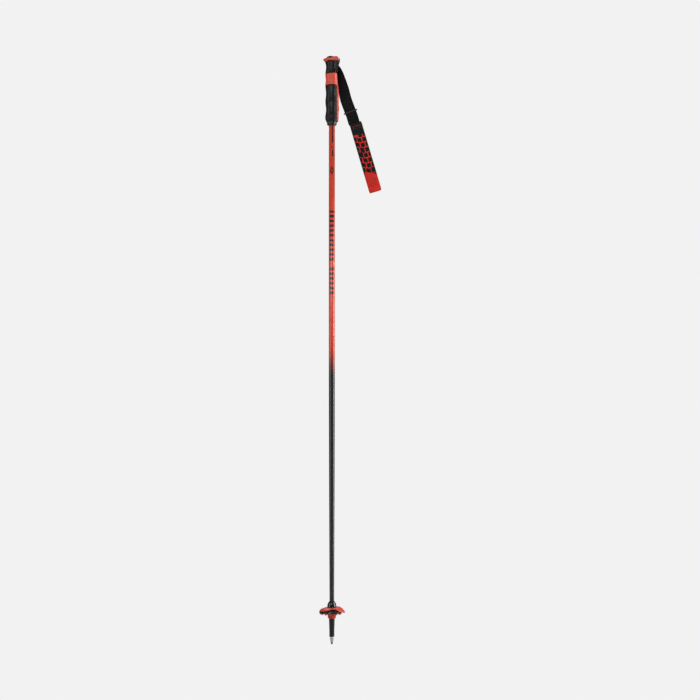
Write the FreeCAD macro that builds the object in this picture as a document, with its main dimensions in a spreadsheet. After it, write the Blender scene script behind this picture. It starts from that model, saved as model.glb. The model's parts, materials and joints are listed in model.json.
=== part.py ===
"""An alpine ski pole, in millimetres.

The frame: the tip's lowest point is the origin, +Z runs up the shaft and +X points from the finger
side of the grip to the palm side. "Depth" is a distance below the top of the head, so the grip, the
strap and its lock move with the pole's length.
"""

import FreeCAD
import Part
import math
import os

SIZES = (
    # alias, value, what it is
    ("pole_length", 1350.0, "tip point to the top of the head"),
    ("shaft_diameter", 14.0, "tube at the grip"),
    ("shaft_wall", 0.9, "tube wall"),
    ("shaft_end_diameter", 10.6, "tube at the ferrule"),
    ("shaft_neck_diameter", 12.9, "tube where the steep taper starts"),
    ("shaft_foot", 46.0, "height of the tube's lower end"),
    ("straight_end", 110.0, "height where the lower straight stretch ends"),
    ("neck_height", 380.0, "height where the steep taper starts"),
    ("taper_start", 640.0, "height where the tube starts to narrow"),
    ("shaft_depth", 26.0, "depth of the tube's upper end"),
    # tip and ferrule
    ("carbide_radius", 2.5, "carbide point"),
    ("carbide_nose", 0.7, "chamfer on the carbide point"),
    ("carbide_length", 13.0, "carbide point, with the length inside the holder"),
    ("holder_foot", 4.6, "height where the carbide leaves the holder"),
    ("holder_foot_radius", 3.1, "holder at the carbide"),
    ("holder_shoulder", 13.0, "height of the holder's shoulder"),
    ("holder_radius", 4.7, "holder at the ferrule"),
    ("stem_radius", 3.0, "holder's stem inside the ferrule"),
    ("stem_top", 40.0, "height of the stem's top"),
    ("ferrule_foot", 16.8, "height of the ferrule's lower face"),
    ("ferrule_radius", 5.8, "ferrule at its lower end"),
    ("ferrule_edge", 1.4, "rounding on the ferrule's lower edge"),
    ("guard_seat_length", 14.0, "straight seat for a tip guard"),
    ("seat_radius", 6.8, "ferrule inside the basket"),
    ("basket_foot", 57.6, "height of the hub's lower face"),
    ("collar_foot", 84.8, "height of the collar's lower face"),
    ("collar_radius", 10.6, "collar at its foot"),
    ("collar_shoulder", 8.0, "collar's foot to its shoulder"),
    ("collar_shoulder_radius", 9.5, "collar at its shoulder"),
    ("collar_height", 13.8, "collar's foot to its top"),
    ("collar_lip", 0.45, "collar's wall at its top"),
    # basket
    ("bore_clearance", 0.06, "running gap between the ferrule and the hub"),
    ("hub_radius", 9.6, "hub"),
    ("hub_edge", 1.7, "rounding on the hub's lower edge"),
    ("flange_foot", 66.4, "height where the hub widens into its flange"),
    ("flange_base", 69.6, "height of the flange's lower face"),
    ("flange_thickness", 1.5, "hub flange"),
    ("flange_radius", 22.6, "hub flange"),
    ("flare_radius", 13.4, "hub where it meets the flange"),
    ("tooth_count", 10, "teeth under the flange"),
    ("tooth_radius", 2.2, "one tooth"),
    ("tooth_drop", 2.6, "teeth below the flange"),
    ("ring_radius", 26.2, "black ring"),
    ("ring_offset", 2.9, "ring's centre towards the finger side"),
    ("ring_base", 72.4, "height of the ring's lower edge"),
    ("ring_edge", 3.0, "height of the ring's outer edge"),
    ("shell_radius", 29.3, "orange shell"),
    ("shell_rim", 75.2, "height of the shell's rim"),
    ("shell_top", 84.6, "height of the shell's top face"),
    ("shell_flat_radius", 13.5, "flat top of the shell"),
    ("shell_dome_radius", 22.0, "curve of the shell"),
    ("shell_wall", 1.6, "shell"),
    ("arch_radius", 19.0, "arch that shows the ring"),
    ("arch_top", 81.6, "height of the arch's crown"),
    ("arch_shift", 4.2, "arch's centre towards the palm side"),
    ("lug_radius", 8.2, "bayonet lugs on the ferrule"),
    ("lug_base", 70.0, "height of the lugs"),
    ("lug_height", 2.4, "bayonet lugs"),
    ("lug_angle", 24.0, "one lug's width, in degrees"),
    ("lug_gap", 0.3, "free space round a lug"),
    ("lug_slack", 2.5, "free turn at each end of a lug, in degrees"),
    ("release_turn", 90.0, "turn that frees the basket, in degrees"),
    # grip
    ("grip_length", 159.6, "head top to the collar's lower end"),
    ("toothed_height", 7.6, "toothed collar"),
    ("toothed_radius", 11.3, "toothed collar"),
    ("notch_count", 14, "notches round the toothed collar"),
    ("notch_radius", 1.3, "one notch"),
    ("core_radius", 9.6, "core tube"),
    ("band_top", 40.7, "depth of the band's upper edge"),
    ("band_foot", 66.0, "depth of the band's lower edge"),
    ("strip_plane", 10.6, "palm strip starts here towards the palm"),
    ("pad_front", 10.0, "side pads' front edge"),
    ("pad_back", 5.0, "side pads' back edge"),
    ("pad_floor", 10.9, "side pads' inner face from the middle"),
    ("pad_corner", 2.5, "side pads' corners"),
    ("pad_high_top", 69.5, "depth of the upper pads' top"),
    ("pad_low_top", 106.5, "depth of the lower pads' top"),
    ("pad_height", 31.0, "one side pad"),
    ("inlay_depth", 117.0, "depth of the palm inlay's top"),
    ("inlay_height", 9.0, "palm inlay"),
    ("inlay_width", 6.0, "palm inlay"),
    ("inlay_floor", 13.2, "palm inlay's inner face"),
    # head
    ("rim_foot", 12.6, "depth of the rim's lower face"),
    ("rim_height", 8.2, "rim"),
    ("beak_reach", 19.6, "rim's beak to the front"),
    ("rim_palm", 15.0, "rim's arms to the palm side"),
    ("rim_half_width", 14.6, "rim"),
    ("rim_corner", 4.5, "rim's back corners"),
    ("rim_edge", 1.0, "rim's rounded edges"),
    ("boss_radius", 8.0, "core's boss in the rim"),
    ("boss_height", 4.5, "core's boss"),
    ("insert_front", 12.0, "insert to the front"),
    ("insert_back", 7.0, "insert to the back"),
    ("insert_half_width", 9.2, "insert"),
    ("insert_seat", 1.8, "insert's seat in the rim"),
    # strap lock
    ("channel_floor", 8.2, "strap channel's front wall"),
    ("channel_half_width", 10.4, "strap channel"),
    ("mouth_depth", 30.5, "depth of the strap mouth's floor"),
    ("cheek_palm", 14.2, "core's cheeks to the palm side"),
    ("cheek_half_width", 11.9, "core's cheeks"),
    ("cheek_corner", 2.0, "core's back corners"),
    ("wedge_front", 11.6, "wedge's clamping face"),
    ("wedge_half_width", 10.1, "wedge"),
    ("wedge_foot", 21.4, "depth of the wedge's lower face"),
    ("wedge_top", 6.4, "depth of the wedge's top"),
    ("wedge_heel", 15.2, "wedge's back at its lower end"),
    ("lip_palm", 18.4, "wedge's finger lip to the palm side"),
    ("lip_depth", 11.0, "depth where the lip is widest"),
    ("wedge_lift", 7.0, "wedge's travel"),
    ("lock_pin_radius", 1.0, "cross pin"),
    ("lock_pin_x", 13.6, "cross pin's place"),
    ("lock_pin_depth", 9.4, "cross pin's depth"),
    ("lock_pin_gap", 0.1, "gap round the pin in the wedge's slot"),
    # strap
    ("webbing_width", 20.0, "strap webbing"),
    ("webbing_thickness", 1.4, "strap webbing"),
    ("webbing_gap", 0.3, "between the two legs"),
    ("anchor_top", 9.0, "depth of the webbing's folded end"),
    ("anchor_bend", 4.0, "webbing's bend out of the channel"),
    ("keeper_wall", 1.3, "keeper bar's wall"),
    ("keeper_width", 28.6, "keeper's opening"),
    ("keeper_opening", 4.2, "keeper's opening, across the webbing"),
    ("keeper_height", 2.6, "keeper along the strap"),
    ("keeper_distance", 10.4, "fold to the keeper, along the strap"),
    ("keeper_travel", 17.0, "keeper's travel up the strap"),
    ("fold_gap", 2.2, "webbing's clear distance to the fold, each way"),
    ("pad_lean", 16.4, "hand loop's angle from the shaft, in degrees"),
    ("loop_spread", 3.2, "each leg's angle to the loop's middle, in degrees"),
    ("loop_length", 178.7, "fold to the loop's lower end"),
    ("loop_shift", 1.0, "loop's webbing towards the palm side"),
    ("cover_width", 28.2, "printed cover"),
    ("cover_thickness", 1.2, "printed cover"),
    ("cover_shift", 2.8, "cover towards the palm side"),
    ("cover_start", 11.8, "fold to the cover's upper edge"),
    ("lining_width", 25.0, "lining"),
    ("lining_thickness", 1.6, "lining"),
    ("lining_start", 34.0, "fold to the lining's upper edge"),
)

# The grip's outline: name, depth, reach to the front, reach to the palm, half width.
GRIP_SECTIONS = (
    ("foot", None, 12.9, 13.4, 11.4),
    ("ridge_four", 142.3, 15.4, 14.5, 12.6),
    ("groove_three", 124.0, 13.4, 15.0, 12.2),
    ("ridge_three", 105.6, 15.0, 15.1, 12.7),
    ("groove_two", 87.0, 13.6, 14.8, 12.3),
    ("ridge_two", 68.8, 14.9, 14.2, 12.6),
    ("groove_one", 55.0, 13.8, 13.7, 12.3),
    ("ridge_one", 41.3, 15.1, 13.2, 12.6),
    ("neck", 24.0, 13.6, 12.8, 12.7),
    ("crown", 12.6, 16.2, 14.4, 14.0),
)

# The strap's middle line from the mouth: name, depth, distance from the shaft's axis to the palm
# side, twist from edge-on in degrees, and how far the two legs slide apart across the strap.
STRAP_STATIONS = (
    ("mouth", 27.6, 15.3, 18.0, 0.0),
    ("turn_one", 41.3, 18.9, 40.0, 0.8),
    ("turn_two", 60.0, 23.0, 57.0, 1.8),
    ("turn_three", 78.0, 27.3, 73.0, 2.6),
    ("flat", 101.0, 32.7, 90.0, 3.3),
    ("fold", 138.0, 46.5, 90.0, 3.3),
)

doc = FreeCAD.newDocument("ski_pole")
sheet = doc.addObject("Spreadsheet::Sheet", "Sizes")
NODES = []


def fill_sheet():
    """One row for each driving dimension, with its alias."""
    rows = [(alias, value, note) for alias, value, note in SIZES]
    for name, depth, front, palm, side in GRIP_SECTIONS:
        if depth is not None:
            rows.append((f"{name}_depth", depth, "depth of this grip section"))
        rows.append((f"{name}_front", front, "reach to the front"))
        rows.append((f"{name}_palm", palm, "reach to the palm"))
        rows.append((f"{name}_side", side, "half width"))
    for name, depth, reach, twist, spread in STRAP_STATIONS:
        rows.append((f"strap_{name}_depth", depth, "depth of this strap station"))
        rows.append((f"strap_{name}_reach", reach, "distance from the shaft's axis"))
        rows.append((f"strap_{name}_twist", twist, "twist from edge-on, in degrees"))
        rows.append((f"strap_{name}_spread", spread, "each leg's shift across the strap"))
    for row, (alias, value, note) in enumerate(rows, start=1):
        sheet.set(f"A{row}", str(value))
        sheet.setAlias(f"A{row}", alias)
        sheet.set(f"B{row}", note)
    doc.recompute()


def size(rule):
    """The number that a rule on the sheet's cells gives."""
    return float(sheet.evalExpression(rule))


def level(alias):
    """The rule for a height that the sheet gives as a depth below the top of the head."""
    return f"(Sizes.pole_length - Sizes.{alias})"


def bind(item, **rules):
    """Ties an object's properties to rules. Two underscores stand for a dot in a property path."""
    for path, rule in rules.items():
        item.setExpression(path.replace("__", "."), rule)
    return item


def node(item, label):
    """Names a finished sub-part."""
    item.Label = label
    NODES.append(item)
    return item


def solid(kind, name, **rules):
    """A Part primitive with its sizes and place tied to rules."""
    item = doc.addObject(f"Part::{kind}", name)
    return bind(item, **rules)


def block(name, x_from, x_to, half_width, z_from, z_to):
    """A box that is centred across the pole, between two distances and two heights."""
    return solid("Box", name, Length=f"{x_to} - ({x_from})", Width=f"2 * ({half_width})",
                 Height=f"{z_to} - ({z_from})", Placement__Base__x=x_from,
                 Placement__Base__y=f"-({half_width})", Placement__Base__z=z_from)


def rod(name, radius, z_from, z_to):
    """A cylinder on the shaft's axis."""
    return solid("Cylinder", name, Radius=radius, Height=f"{z_to} - ({z_from})",
                 Placement__Base__z=z_from)


def cut(name, base, tool):
    """base with tool taken away."""
    item = doc.addObject("Part::Cut", name)
    item.Base = base
    item.Tool = tool
    return item


def join(name, *items):
    """The union of several shapes."""
    item = doc.addObject("Part::MultiFuse", name)
    item.Shapes = list(items)
    return item


def common(name, *items):
    """What several shapes share."""
    item = doc.addObject("Part::MultiCommon", name)
    item.Shapes = list(items)
    return item


def both_sides(name, half):
    """A half and its mirror image across the pole, made one."""
    image = doc.addObject("Part::Mirroring", f"{name}_image")
    image.Source = half
    image.Normal = FreeCAD.Vector(0, 1, 0)
    return join(name, half, image)


def rounded(name, base, radius, picks):
    """Part::Fillet on the edges of base that picks chooses."""
    doc.recompute()
    item = doc.addObject("Part::Fillet", name)
    item.Base = base
    value = size(radius)
    item.Edges = [(i, value, value) for i, edge in enumerate(base.Shape.Edges, start=1) if picks(edge)]
    return item


def runs_along(axis):
    """Chooses straight edges along an axis: 0, 1 or 2 for X, Y or Z."""
    def picks(edge):
        if edge.Curve.TypeId != "Part::GeomLine":
            return False
        return abs(edge.tangentAt(edge.FirstParameter)[axis]) > 0.999
    return picks


def origin_plane(body, role):
    """One of a body's own origin planes."""
    return next(f for f in body.Origin.OriginFeatures if f.Role == role)


def outline(body, role, name, points, arcs=None, offset=None):
    """A closed sketch through points, each a pair of rules. arcs maps a side's number to the rule
    for its radius, positive where the side bulges to the right of its direction."""
    arcs = arcs or {}
    sketch = body.newObject("Sketcher::SketchObject", name)
    sketch.AttachmentSupport = [(origin_plane(body, role), "")]
    sketch.MapMode = "FlatFace"
    if offset:
        sketch.setExpression("AttachmentOffset.Base.z", offset)
    corners = [FreeCAD.Vector(size(x), size(y), 0) for x, y in points]
    count = len(points)
    for i, start in enumerate(corners):
        end = corners[(i + 1) % count]
        if i in arcs:
            sketch.addGeometry(arc_between(start, end, size(arcs[i])), False)
        else:
            sketch.addGeometry(Part.LineSegment(start, end), False)
    flips = [i in arcs and size(arcs[i]) < 0 for i in range(count)]
    for i in range(count):
        j = (i + 1) % count
        sketch.addConstraint(constraint("Coincident", i, 1 if flips[i] else 2, j, 2 if flips[j] else 1))
    for i, (x, y) in enumerate(points):
        point = 2 if flips[i] else 1
        tie_to_axis(sketch, "X", i, point, x)
        tie_to_axis(sketch, "Y", i, point, y)
        if i in arcs:
            number = sketch.addConstraint(constraint("Radius", i, abs(size(arcs[i]))))
            sketch.setExpression(f"Constraints[{number}]", f"abs({arcs[i]})")
    return sketch


def constraint(*words):
    """A Sketcher constraint. Sketcher is one of FreeCAD's own modules."""
    import Sketcher
    return Sketcher.Constraint(*words)


def tie_to_axis(sketch, direction, geometry, point, rule):
    """Holds one coordinate of a sketch point at a rule's value."""
    axis = -2 if direction == "X" else -1
    if rule == "0":
        sketch.addConstraint(constraint("PointOnObject", geometry, point, axis))
        return
    number = sketch.addConstraint(
        constraint(f"Distance{direction}", -1, 1, geometry, point, size(rule)))
    sketch.setExpression(f"Constraints[{number}]", rule)


def arc_between(start, end, radius):
    """The short arc from start to end. A positive radius bulges to the right of the way there."""
    middle = (start + end) * 0.5
    chord = end - start
    half = chord.Length / 2
    side = FreeCAD.Vector(chord.y, -chord.x, 0).normalize()
    rise = abs(radius) - math.sqrt(max(radius * radius - half * half, 0.0))
    crown = middle + side * math.copysign(rise, radius)
    return Part.Arc(start, crown, end)


def turned(name, points, arcs=None):
    """A body turned about the shaft's axis from an outline of radius and height."""
    body = doc.addObject("PartDesign::Body", name)
    sketch = outline(body, "XZ_Plane", f"{name}_outline", points, arcs)
    sweep = body.newObject("PartDesign::Revolution", f"{name}_turned")
    sweep.Profile = sketch
    sweep.ReferenceAxis = (sketch, ["V_Axis"])
    sweep.Angle = 360
    doc.recompute()
    return body


def plate(name, role, points, length, arcs=None, both_ways=False, offset=None):
    """A body padded from an outline on one of its origin planes."""
    body = doc.addObject("PartDesign::Body", name)
    sketch = outline(body, role, f"{name}_outline", points, arcs, offset)
    pad = body.newObject("PartDesign::Pad", f"{name}_pad")
    pad.Profile = sketch
    pad.setExpression("Length", length)
    if both_ways:
        pad.SideType = "Symmetric"
    doc.recompute()
    return body


def make_shaft():
    """The drawn tube: straight at the grip, then two tapers, then straight in the ferrule."""
    top = level("shaft_depth")
    outside = (("Sizes.shaft_end_diameter / 2", "Sizes.shaft_foot"),
               ("Sizes.shaft_end_diameter / 2", "Sizes.straight_end"),
               ("Sizes.shaft_neck_diameter / 2", "Sizes.neck_height"),
               ("Sizes.shaft_diameter / 2", "Sizes.taper_start"),
               ("Sizes.shaft_diameter / 2", top))
    inside = [(f"{radius} - Sizes.shaft_wall", height) for radius, height in reversed(outside)]
    node(turned("shaft", list(outside) + inside), "shaft_tube")


def make_tip():
    """The carbide point in its steel holder."""
    nose = "Sizes.carbide_radius - Sizes.carbide_nose"
    node(turned("point", [("0", "0"), (nose, "0"), ("Sizes.carbide_radius", "Sizes.carbide_nose"),
                          ("Sizes.carbide_radius", "Sizes.carbide_length"),
                          ("0", "Sizes.carbide_length")]), "carbide_tip")
    node(turned("holder", [("Sizes.carbide_radius", "Sizes.holder_foot"),
                           ("Sizes.holder_foot_radius", "Sizes.holder_foot"),
                           ("Sizes.holder_radius - 0.3", "Sizes.holder_shoulder"),
                           ("Sizes.holder_radius", "Sizes.ferrule_foot"),
                           ("Sizes.stem_radius", "Sizes.ferrule_foot"),
                           ("Sizes.stem_radius", "Sizes.stem_top"),
                           ("0", "Sizes.stem_top"),
                           ("0", "Sizes.carbide_length"),
                           ("Sizes.carbide_radius", "Sizes.carbide_length")]), "tip_holder")


def sector(name, radius, start, span, z_from, z_to):
    """A slice of a cylinder on the shaft's axis, from a start angle through a span, in degrees."""
    item = solid("Cylinder", name, Radius=radius, Height=f"{z_to} - ({z_from})", Angle=span,
                 Placement__Base__z=z_from)
    item.Placement.Rotation = FreeCAD.Rotation(FreeCAD.Vector(0, 0, 1), 0)
    item.setExpression("Placement.Rotation.Axis.z", "1")
    item.setExpression("Placement.Rotation.Angle", start)
    return item


def make_ferrule():
    """The ferrule with its guard seat and bayonet lugs, and the collar above the basket."""
    seat_top = "Sizes.ferrule_foot + Sizes.ferrule_edge + Sizes.guard_seat_length"
    tube = "Sizes.shaft_end_diameter / 2"
    sleeve = turned("sleeve", [
        ("Sizes.stem_radius", "Sizes.ferrule_foot"),
        ("Sizes.ferrule_radius - Sizes.ferrule_edge", "Sizes.ferrule_foot"),
        ("Sizes.ferrule_radius", "Sizes.ferrule_foot + Sizes.ferrule_edge"),
        ("Sizes.ferrule_radius", seat_top),
        ("Sizes.seat_radius - 0.2", "Sizes.basket_foot"),
        ("Sizes.seat_radius", "Sizes.basket_foot + 1"),
        ("Sizes.seat_radius", "Sizes.collar_foot"),
        (tube, "Sizes.collar_foot"),
        (tube, "Sizes.shaft_foot"),
        ("0", "Sizes.shaft_foot"),
        ("0", "Sizes.stem_top"),
        ("Sizes.stem_radius", "Sizes.stem_top"),
    ], {1: "Sizes.ferrule_edge"})
    lug_top = "Sizes.lug_base + Sizes.lug_height"
    lugs = [sector(f"lug_{side}", "Sizes.lug_radius", f"{side} * 180 - Sizes.lug_angle / 2",
                   "Sizes.lug_angle", "Sizes.lug_base", lug_top) for side in range(2)]
    ring = join("lug_slices", *lugs)
    hollow = rod("lug_hollow", "Sizes.seat_radius - 0.4", "Sizes.lug_base - 1", f"{lug_top} + 1")
    node(join("ferrule", sleeve, cut("lug_pair", ring, hollow)), "ferrule_body")

    top = "Sizes.collar_foot + Sizes.collar_height"
    node(turned("dome", [
        (tube, "Sizes.collar_foot"),
        ("Sizes.collar_radius", "Sizes.collar_foot"),
        ("Sizes.collar_shoulder_radius", "Sizes.collar_foot + Sizes.collar_shoulder"),
        (f"{tube} + Sizes.collar_lip", top),
        (tube, top),
    ], {1: "30", 2: "6.5"}), "ferrule_collar")


def make_basket():
    """The hub with its teeth and bayonet tracks, the black ring and the orange shell."""
    bore = "Sizes.seat_radius + Sizes.bore_clearance"
    hub = turned("hub_blank", [
        (bore, "Sizes.basket_foot"),
        ("Sizes.hub_radius - Sizes.hub_edge", "Sizes.basket_foot"),
        ("Sizes.hub_radius", "Sizes.basket_foot + Sizes.hub_edge * 1.6"),
        ("Sizes.hub_radius", "Sizes.flange_foot"),
        ("Sizes.flare_radius", "Sizes.flange_base"),
        ("Sizes.flange_radius", "Sizes.flange_base"),
        ("Sizes.flange_radius", "Sizes.flange_base + Sizes.flange_thickness"),
        ("Sizes.hub_radius", "Sizes.flange_base + Sizes.flange_thickness"),
        ("Sizes.hub_radius", "Sizes.collar_foot - 0.2"),
        (bore, "Sizes.collar_foot - 0.2"),
    ], {1: "6", 3: "-6"})
    tooth = circle_on(hub, "tooth_outline", "Sizes.flange_radius - 1.3 * Sizes.tooth_radius",
                      "Sizes.tooth_radius", "Sizes.flange_base + Sizes.flange_thickness / 2")
    drop = hub.newObject("PartDesign::Pad", "tooth")
    drop.Profile = tooth
    drop.setExpression("Length", "Sizes.tooth_drop + Sizes.flange_thickness / 2")
    drop.Reversed = True
    repeat_round(hub, drop, tooth, "Sizes.tooth_count")

    # Each lug runs in a track as long as the release turn, and leaves it by a slot at its far end.
    track = "Sizes.lug_radius + Sizes.lug_gap"
    low = "-(Sizes.release_turn + Sizes.lug_angle / 2 + Sizes.lug_slack)"
    slot_span = "Sizes.lug_angle + 2 * Sizes.lug_slack"
    span = f"Sizes.release_turn + {slot_span}"
    track_foot = "Sizes.lug_base - Sizes.lug_gap"
    track_top = "Sizes.lug_base + Sizes.lug_height + Sizes.lug_gap"
    paths = []
    for side in range(2):
        start = f"{low} + {side} * 180"
        paths.append(sector(f"track_{side}", track, start, span, track_foot, track_top))
        paths.append(sector(f"slot_{side}", track, start, slot_span, "Sizes.basket_foot - 1",
                            track_top))
    node(cut("hub", hub, join("lug_paths", *paths)), "basket_hub")

    # The ring fills the space under the shell and shows below its rim and through its arch.
    shell_inner = "Sizes.shell_dome_radius - Sizes.shell_wall"
    shell_ceiling = "Sizes.shell_top - Sizes.shell_wall"
    flange_top = "Sizes.flange_base + Sizes.flange_thickness"
    shell = turned("shell_blank", [
        ("Sizes.hub_radius", shell_ceiling),
        ("Sizes.shell_flat_radius", shell_ceiling),
        ("Sizes.shell_radius - Sizes.shell_wall", "Sizes.shell_rim"),
        ("Sizes.shell_radius", "Sizes.shell_rim"),
        ("Sizes.shell_flat_radius", "Sizes.shell_top"),
        ("Sizes.hub_radius", "Sizes.shell_top"),
    ], {1: f"-({shell_inner})", 3: "Sizes.shell_dome_radius"})
    ring = turned("ring_blank", [
        ("4", flange_top),
        ("Sizes.flange_radius - 1", flange_top),
        ("Sizes.ring_radius - 1", "Sizes.ring_base"),
        ("Sizes.ring_radius", "Sizes.ring_base + Sizes.ring_edge"),
        ("Sizes.shell_flat_radius", shell_ceiling),
        ("4", shell_ceiling),
    ], {3: shell_inner})
    bind(ring, Placement__Base__x="-Sizes.ring_offset")
    passage = rod("ring_passage", "Sizes.hub_radius", "Sizes.basket_foot", "Sizes.collar_foot")
    node(cut("ring_fitted", cut("ring_bored", ring, passage), shell), "basket_ring")

    arch = solid("Cylinder", "arch", Radius="Sizes.arch_radius", Height="4 * Sizes.shell_radius",
                 Placement__Base__x="Sizes.arch_shift", Placement__Base__y="2 * Sizes.shell_radius",
                 Placement__Base__z="Sizes.arch_top - Sizes.arch_radius")
    arch.Placement.Rotation = FreeCAD.Rotation(FreeCAD.Vector(1, 0, 0), 90)
    bind(arch, Placement__Base__y="2 * Sizes.shell_radius")
    keep = rod("arch_keep", "Sizes.shell_flat_radius + 4", "Sizes.ring_base", "Sizes.collar_foot")
    node(cut("shell_arched", shell, cut("arch_flanks", arch, keep)), "basket_shell")


def make_grip():
    """The core and its sleeves, all cut from one outline that is lofted through its sections."""
    sections = []
    for name, depth, _, _, _ in GRIP_SECTIONS:
        height = level(f"{name}_depth") if depth is not None else GRIP_FOOT
        section = solid("Ellipse", f"section_{name}",
                        MajorRadius=f"(Sizes.{name}_front + Sizes.{name}_palm) / 2",
                        MinorRadius=f"Sizes.{name}_side",
                        Placement__Base__x=f"(Sizes.{name}_palm - Sizes.{name}_front) / 2",
                        Placement__Base__z=height)
        # The seam lies on the finger side, clear of the palm strip and its inlay.
        section.Placement.Rotation = FreeCAD.Rotation(FreeCAD.Vector(0, 0, 1), 180)
        sections.append(section)
    whole = doc.addObject("Part::Loft", "grip_outline")
    whole.Sections = sections
    whole.Solid = True

    rim_foot = level("rim_foot")
    band_top = level("band_top")
    band_foot = level("band_foot")
    mouth = level("mouth_depth")
    wide = "2 * Sizes.rim_half_width"
    # The sleeves are cut from one half and mirrored, so no cut crosses the loft's own seam.
    far_side = solid("Box", "far_side", Length=f"2 * {wide}", Width=wide,
                     Height="Sizes.grip_length", Placement__Base__x=f"-{wide}",
                     Placement__Base__z=GRIP_END)
    body = common("grip_half", whole, far_side)

    cheeks = rounded("cheeks_round", block("cheeks", "-6", "Sizes.cheek_palm",
                                           "Sizes.cheek_half_width", mouth, rim_foot),
                     "Sizes.cheek_corner", lambda edge: runs_along(2)(edge)
                     and edge.CenterOfMass.x > size("Sizes.core_radius"))
    boss = rod("boss", "Sizes.boss_radius", rim_foot, f"{rim_foot} + Sizes.boss_height")
    tube = rod("core_tube", "Sizes.core_radius", GRIP_FOOT, rim_foot)
    channel = block("channel", "Sizes.channel_floor", wide, "Sizes.channel_half_width", mouth,
                    f"{rim_foot} + 1")
    bore = rod("core_bore", "Sizes.shaft_diameter / 2", f"{GRIP_FOOT} - 1", level("shaft_depth"))
    core_blank = join("core_blank", tube, cheeks, boss)
    core = node(cut("core", cut("core_channelled", core_blank, channel), bore), "grip_core")

    def sleeve(name, z_from, z_to, *tools):
        """The slice of the grip's outline between two heights, with tools and then the core cut out."""
        piece = common(f"{name}_slice", body, block(f"{name}_slab", f"-{wide}", wide, wide, z_from, z_to))
        for number, tool in enumerate((*tools, core_blank)):
            piece = cut(f"{name}_cut_{number}", piece, tool)
        return both_sides(name, piece)

    mouth_gap = block("mouth_gap", "Sizes.channel_floor", wide, wide, mouth, f"{rim_foot} + 1")
    palm_side = block("palm_side", "Sizes.strip_plane", wide, wide, f"{GRIP_FOOT} - 1",
                      f"{band_foot} + 1")
    node(sleeve("upper", band_top, rim_foot, mouth_gap), "grip_upper_sleeve")
    node(sleeve("band", band_foot, band_top), "grip_band")

    flanks = []
    for label in ("high", "low"):
        top = level(f"pad_{label}_top")
        window = rounded(f"window_{label}_round", block(
            f"window_{label}", "-Sizes.pad_front", "Sizes.pad_back", wide,
            f"{top} - Sizes.pad_height", top), "Sizes.pad_corner", runs_along(1))
        middle = block(f"middle_{label}", f"-{wide}", wide, "Sizes.pad_floor",
                       f"{top} - Sizes.pad_height - 1", f"{top} + 1")
        flanks.append(cut(f"window_{label}_sides", window, middle))
    node(sleeve("lower", GRIP_FOOT, band_foot, palm_side, *flanks), "grip_lower_sleeve")
    node(both_sides("pads_high", common("pad_high", body, flanks[0])), "side_pads_upper")
    node(both_sides("pads_low", common("pad_low", body, flanks[1])), "side_pads_lower")

    inlay_top = level("inlay_depth")
    pocket = block("inlay_pocket", "Sizes.inlay_floor", wide, "Sizes.inlay_width / 2",
                   f"{inlay_top} - Sizes.inlay_height", inlay_top)
    strip = common("strip_slice", doc.getObject("lower_slice"), palm_side)
    node(both_sides("strip", cut("strip_half", strip, pocket)), "grip_back_strip")
    node(both_sides("inlay", common("inlay_half", strip, pocket)), "back_strip_inlay")
    return core


def make_toothed_collar():
    """The toothed collar under the sleeve."""
    collar = turned("teeth_collar", [
        ("Sizes.shaft_diameter / 2", GRIP_END),
        ("Sizes.toothed_radius - 1", GRIP_END),
        ("Sizes.toothed_radius", f"{GRIP_END} + 1"),
        ("Sizes.toothed_radius", GRIP_FOOT),
        ("Sizes.shaft_diameter / 2", GRIP_FOOT),
    ])
    notch = circle_on(collar, "notch_outline", "Sizes.toothed_radius", "Sizes.notch_radius", GRIP_END)
    bite = collar.newObject("PartDesign::Pocket", "notch")
    bite.Profile = notch
    bite.setExpression("Length", "Sizes.toothed_height * 0.6")
    bite.Reversed = True
    repeat_round(collar, bite, notch, "Sizes.notch_count")
    node(collar, "grip_collar")


def circle_on(body, name, x, radius, height):
    """A level sketch at a height, with one circle on its horizontal axis."""
    sketch = body.newObject("Sketcher::SketchObject", name)
    sketch.AttachmentSupport = [(origin_plane(body, "XY_Plane"), "")]
    sketch.MapMode = "FlatFace"
    sketch.setExpression("AttachmentOffset.Base.z", height)
    centre = FreeCAD.Vector(size(x), 0, 0)
    sketch.addGeometry(Part.Circle(centre, FreeCAD.Vector(0, 0, 1), size(radius)), False)
    sketch.addConstraint(constraint("PointOnObject", 0, 3, -1))
    tie_to_axis(sketch, "X", 0, 3, x)
    number = sketch.addConstraint(constraint("Radius", 0, size(radius)))
    sketch.setExpression(f"Constraints[{number}]", radius)
    return sketch


def repeat_round(body, feature, sketch, count):
    """Repeats a feature round the shaft's axis."""
    doc.recompute()
    pattern = body.newObject("PartDesign::PolarPattern", f"{feature.Name}_round")
    pattern.Originals = [feature]
    pattern.Axis = (sketch, ["N_Axis"])
    pattern.Angle = 360
    pattern.setExpression("Occurrences", count)
    body.Tip = pattern
    doc.recompute()


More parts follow.
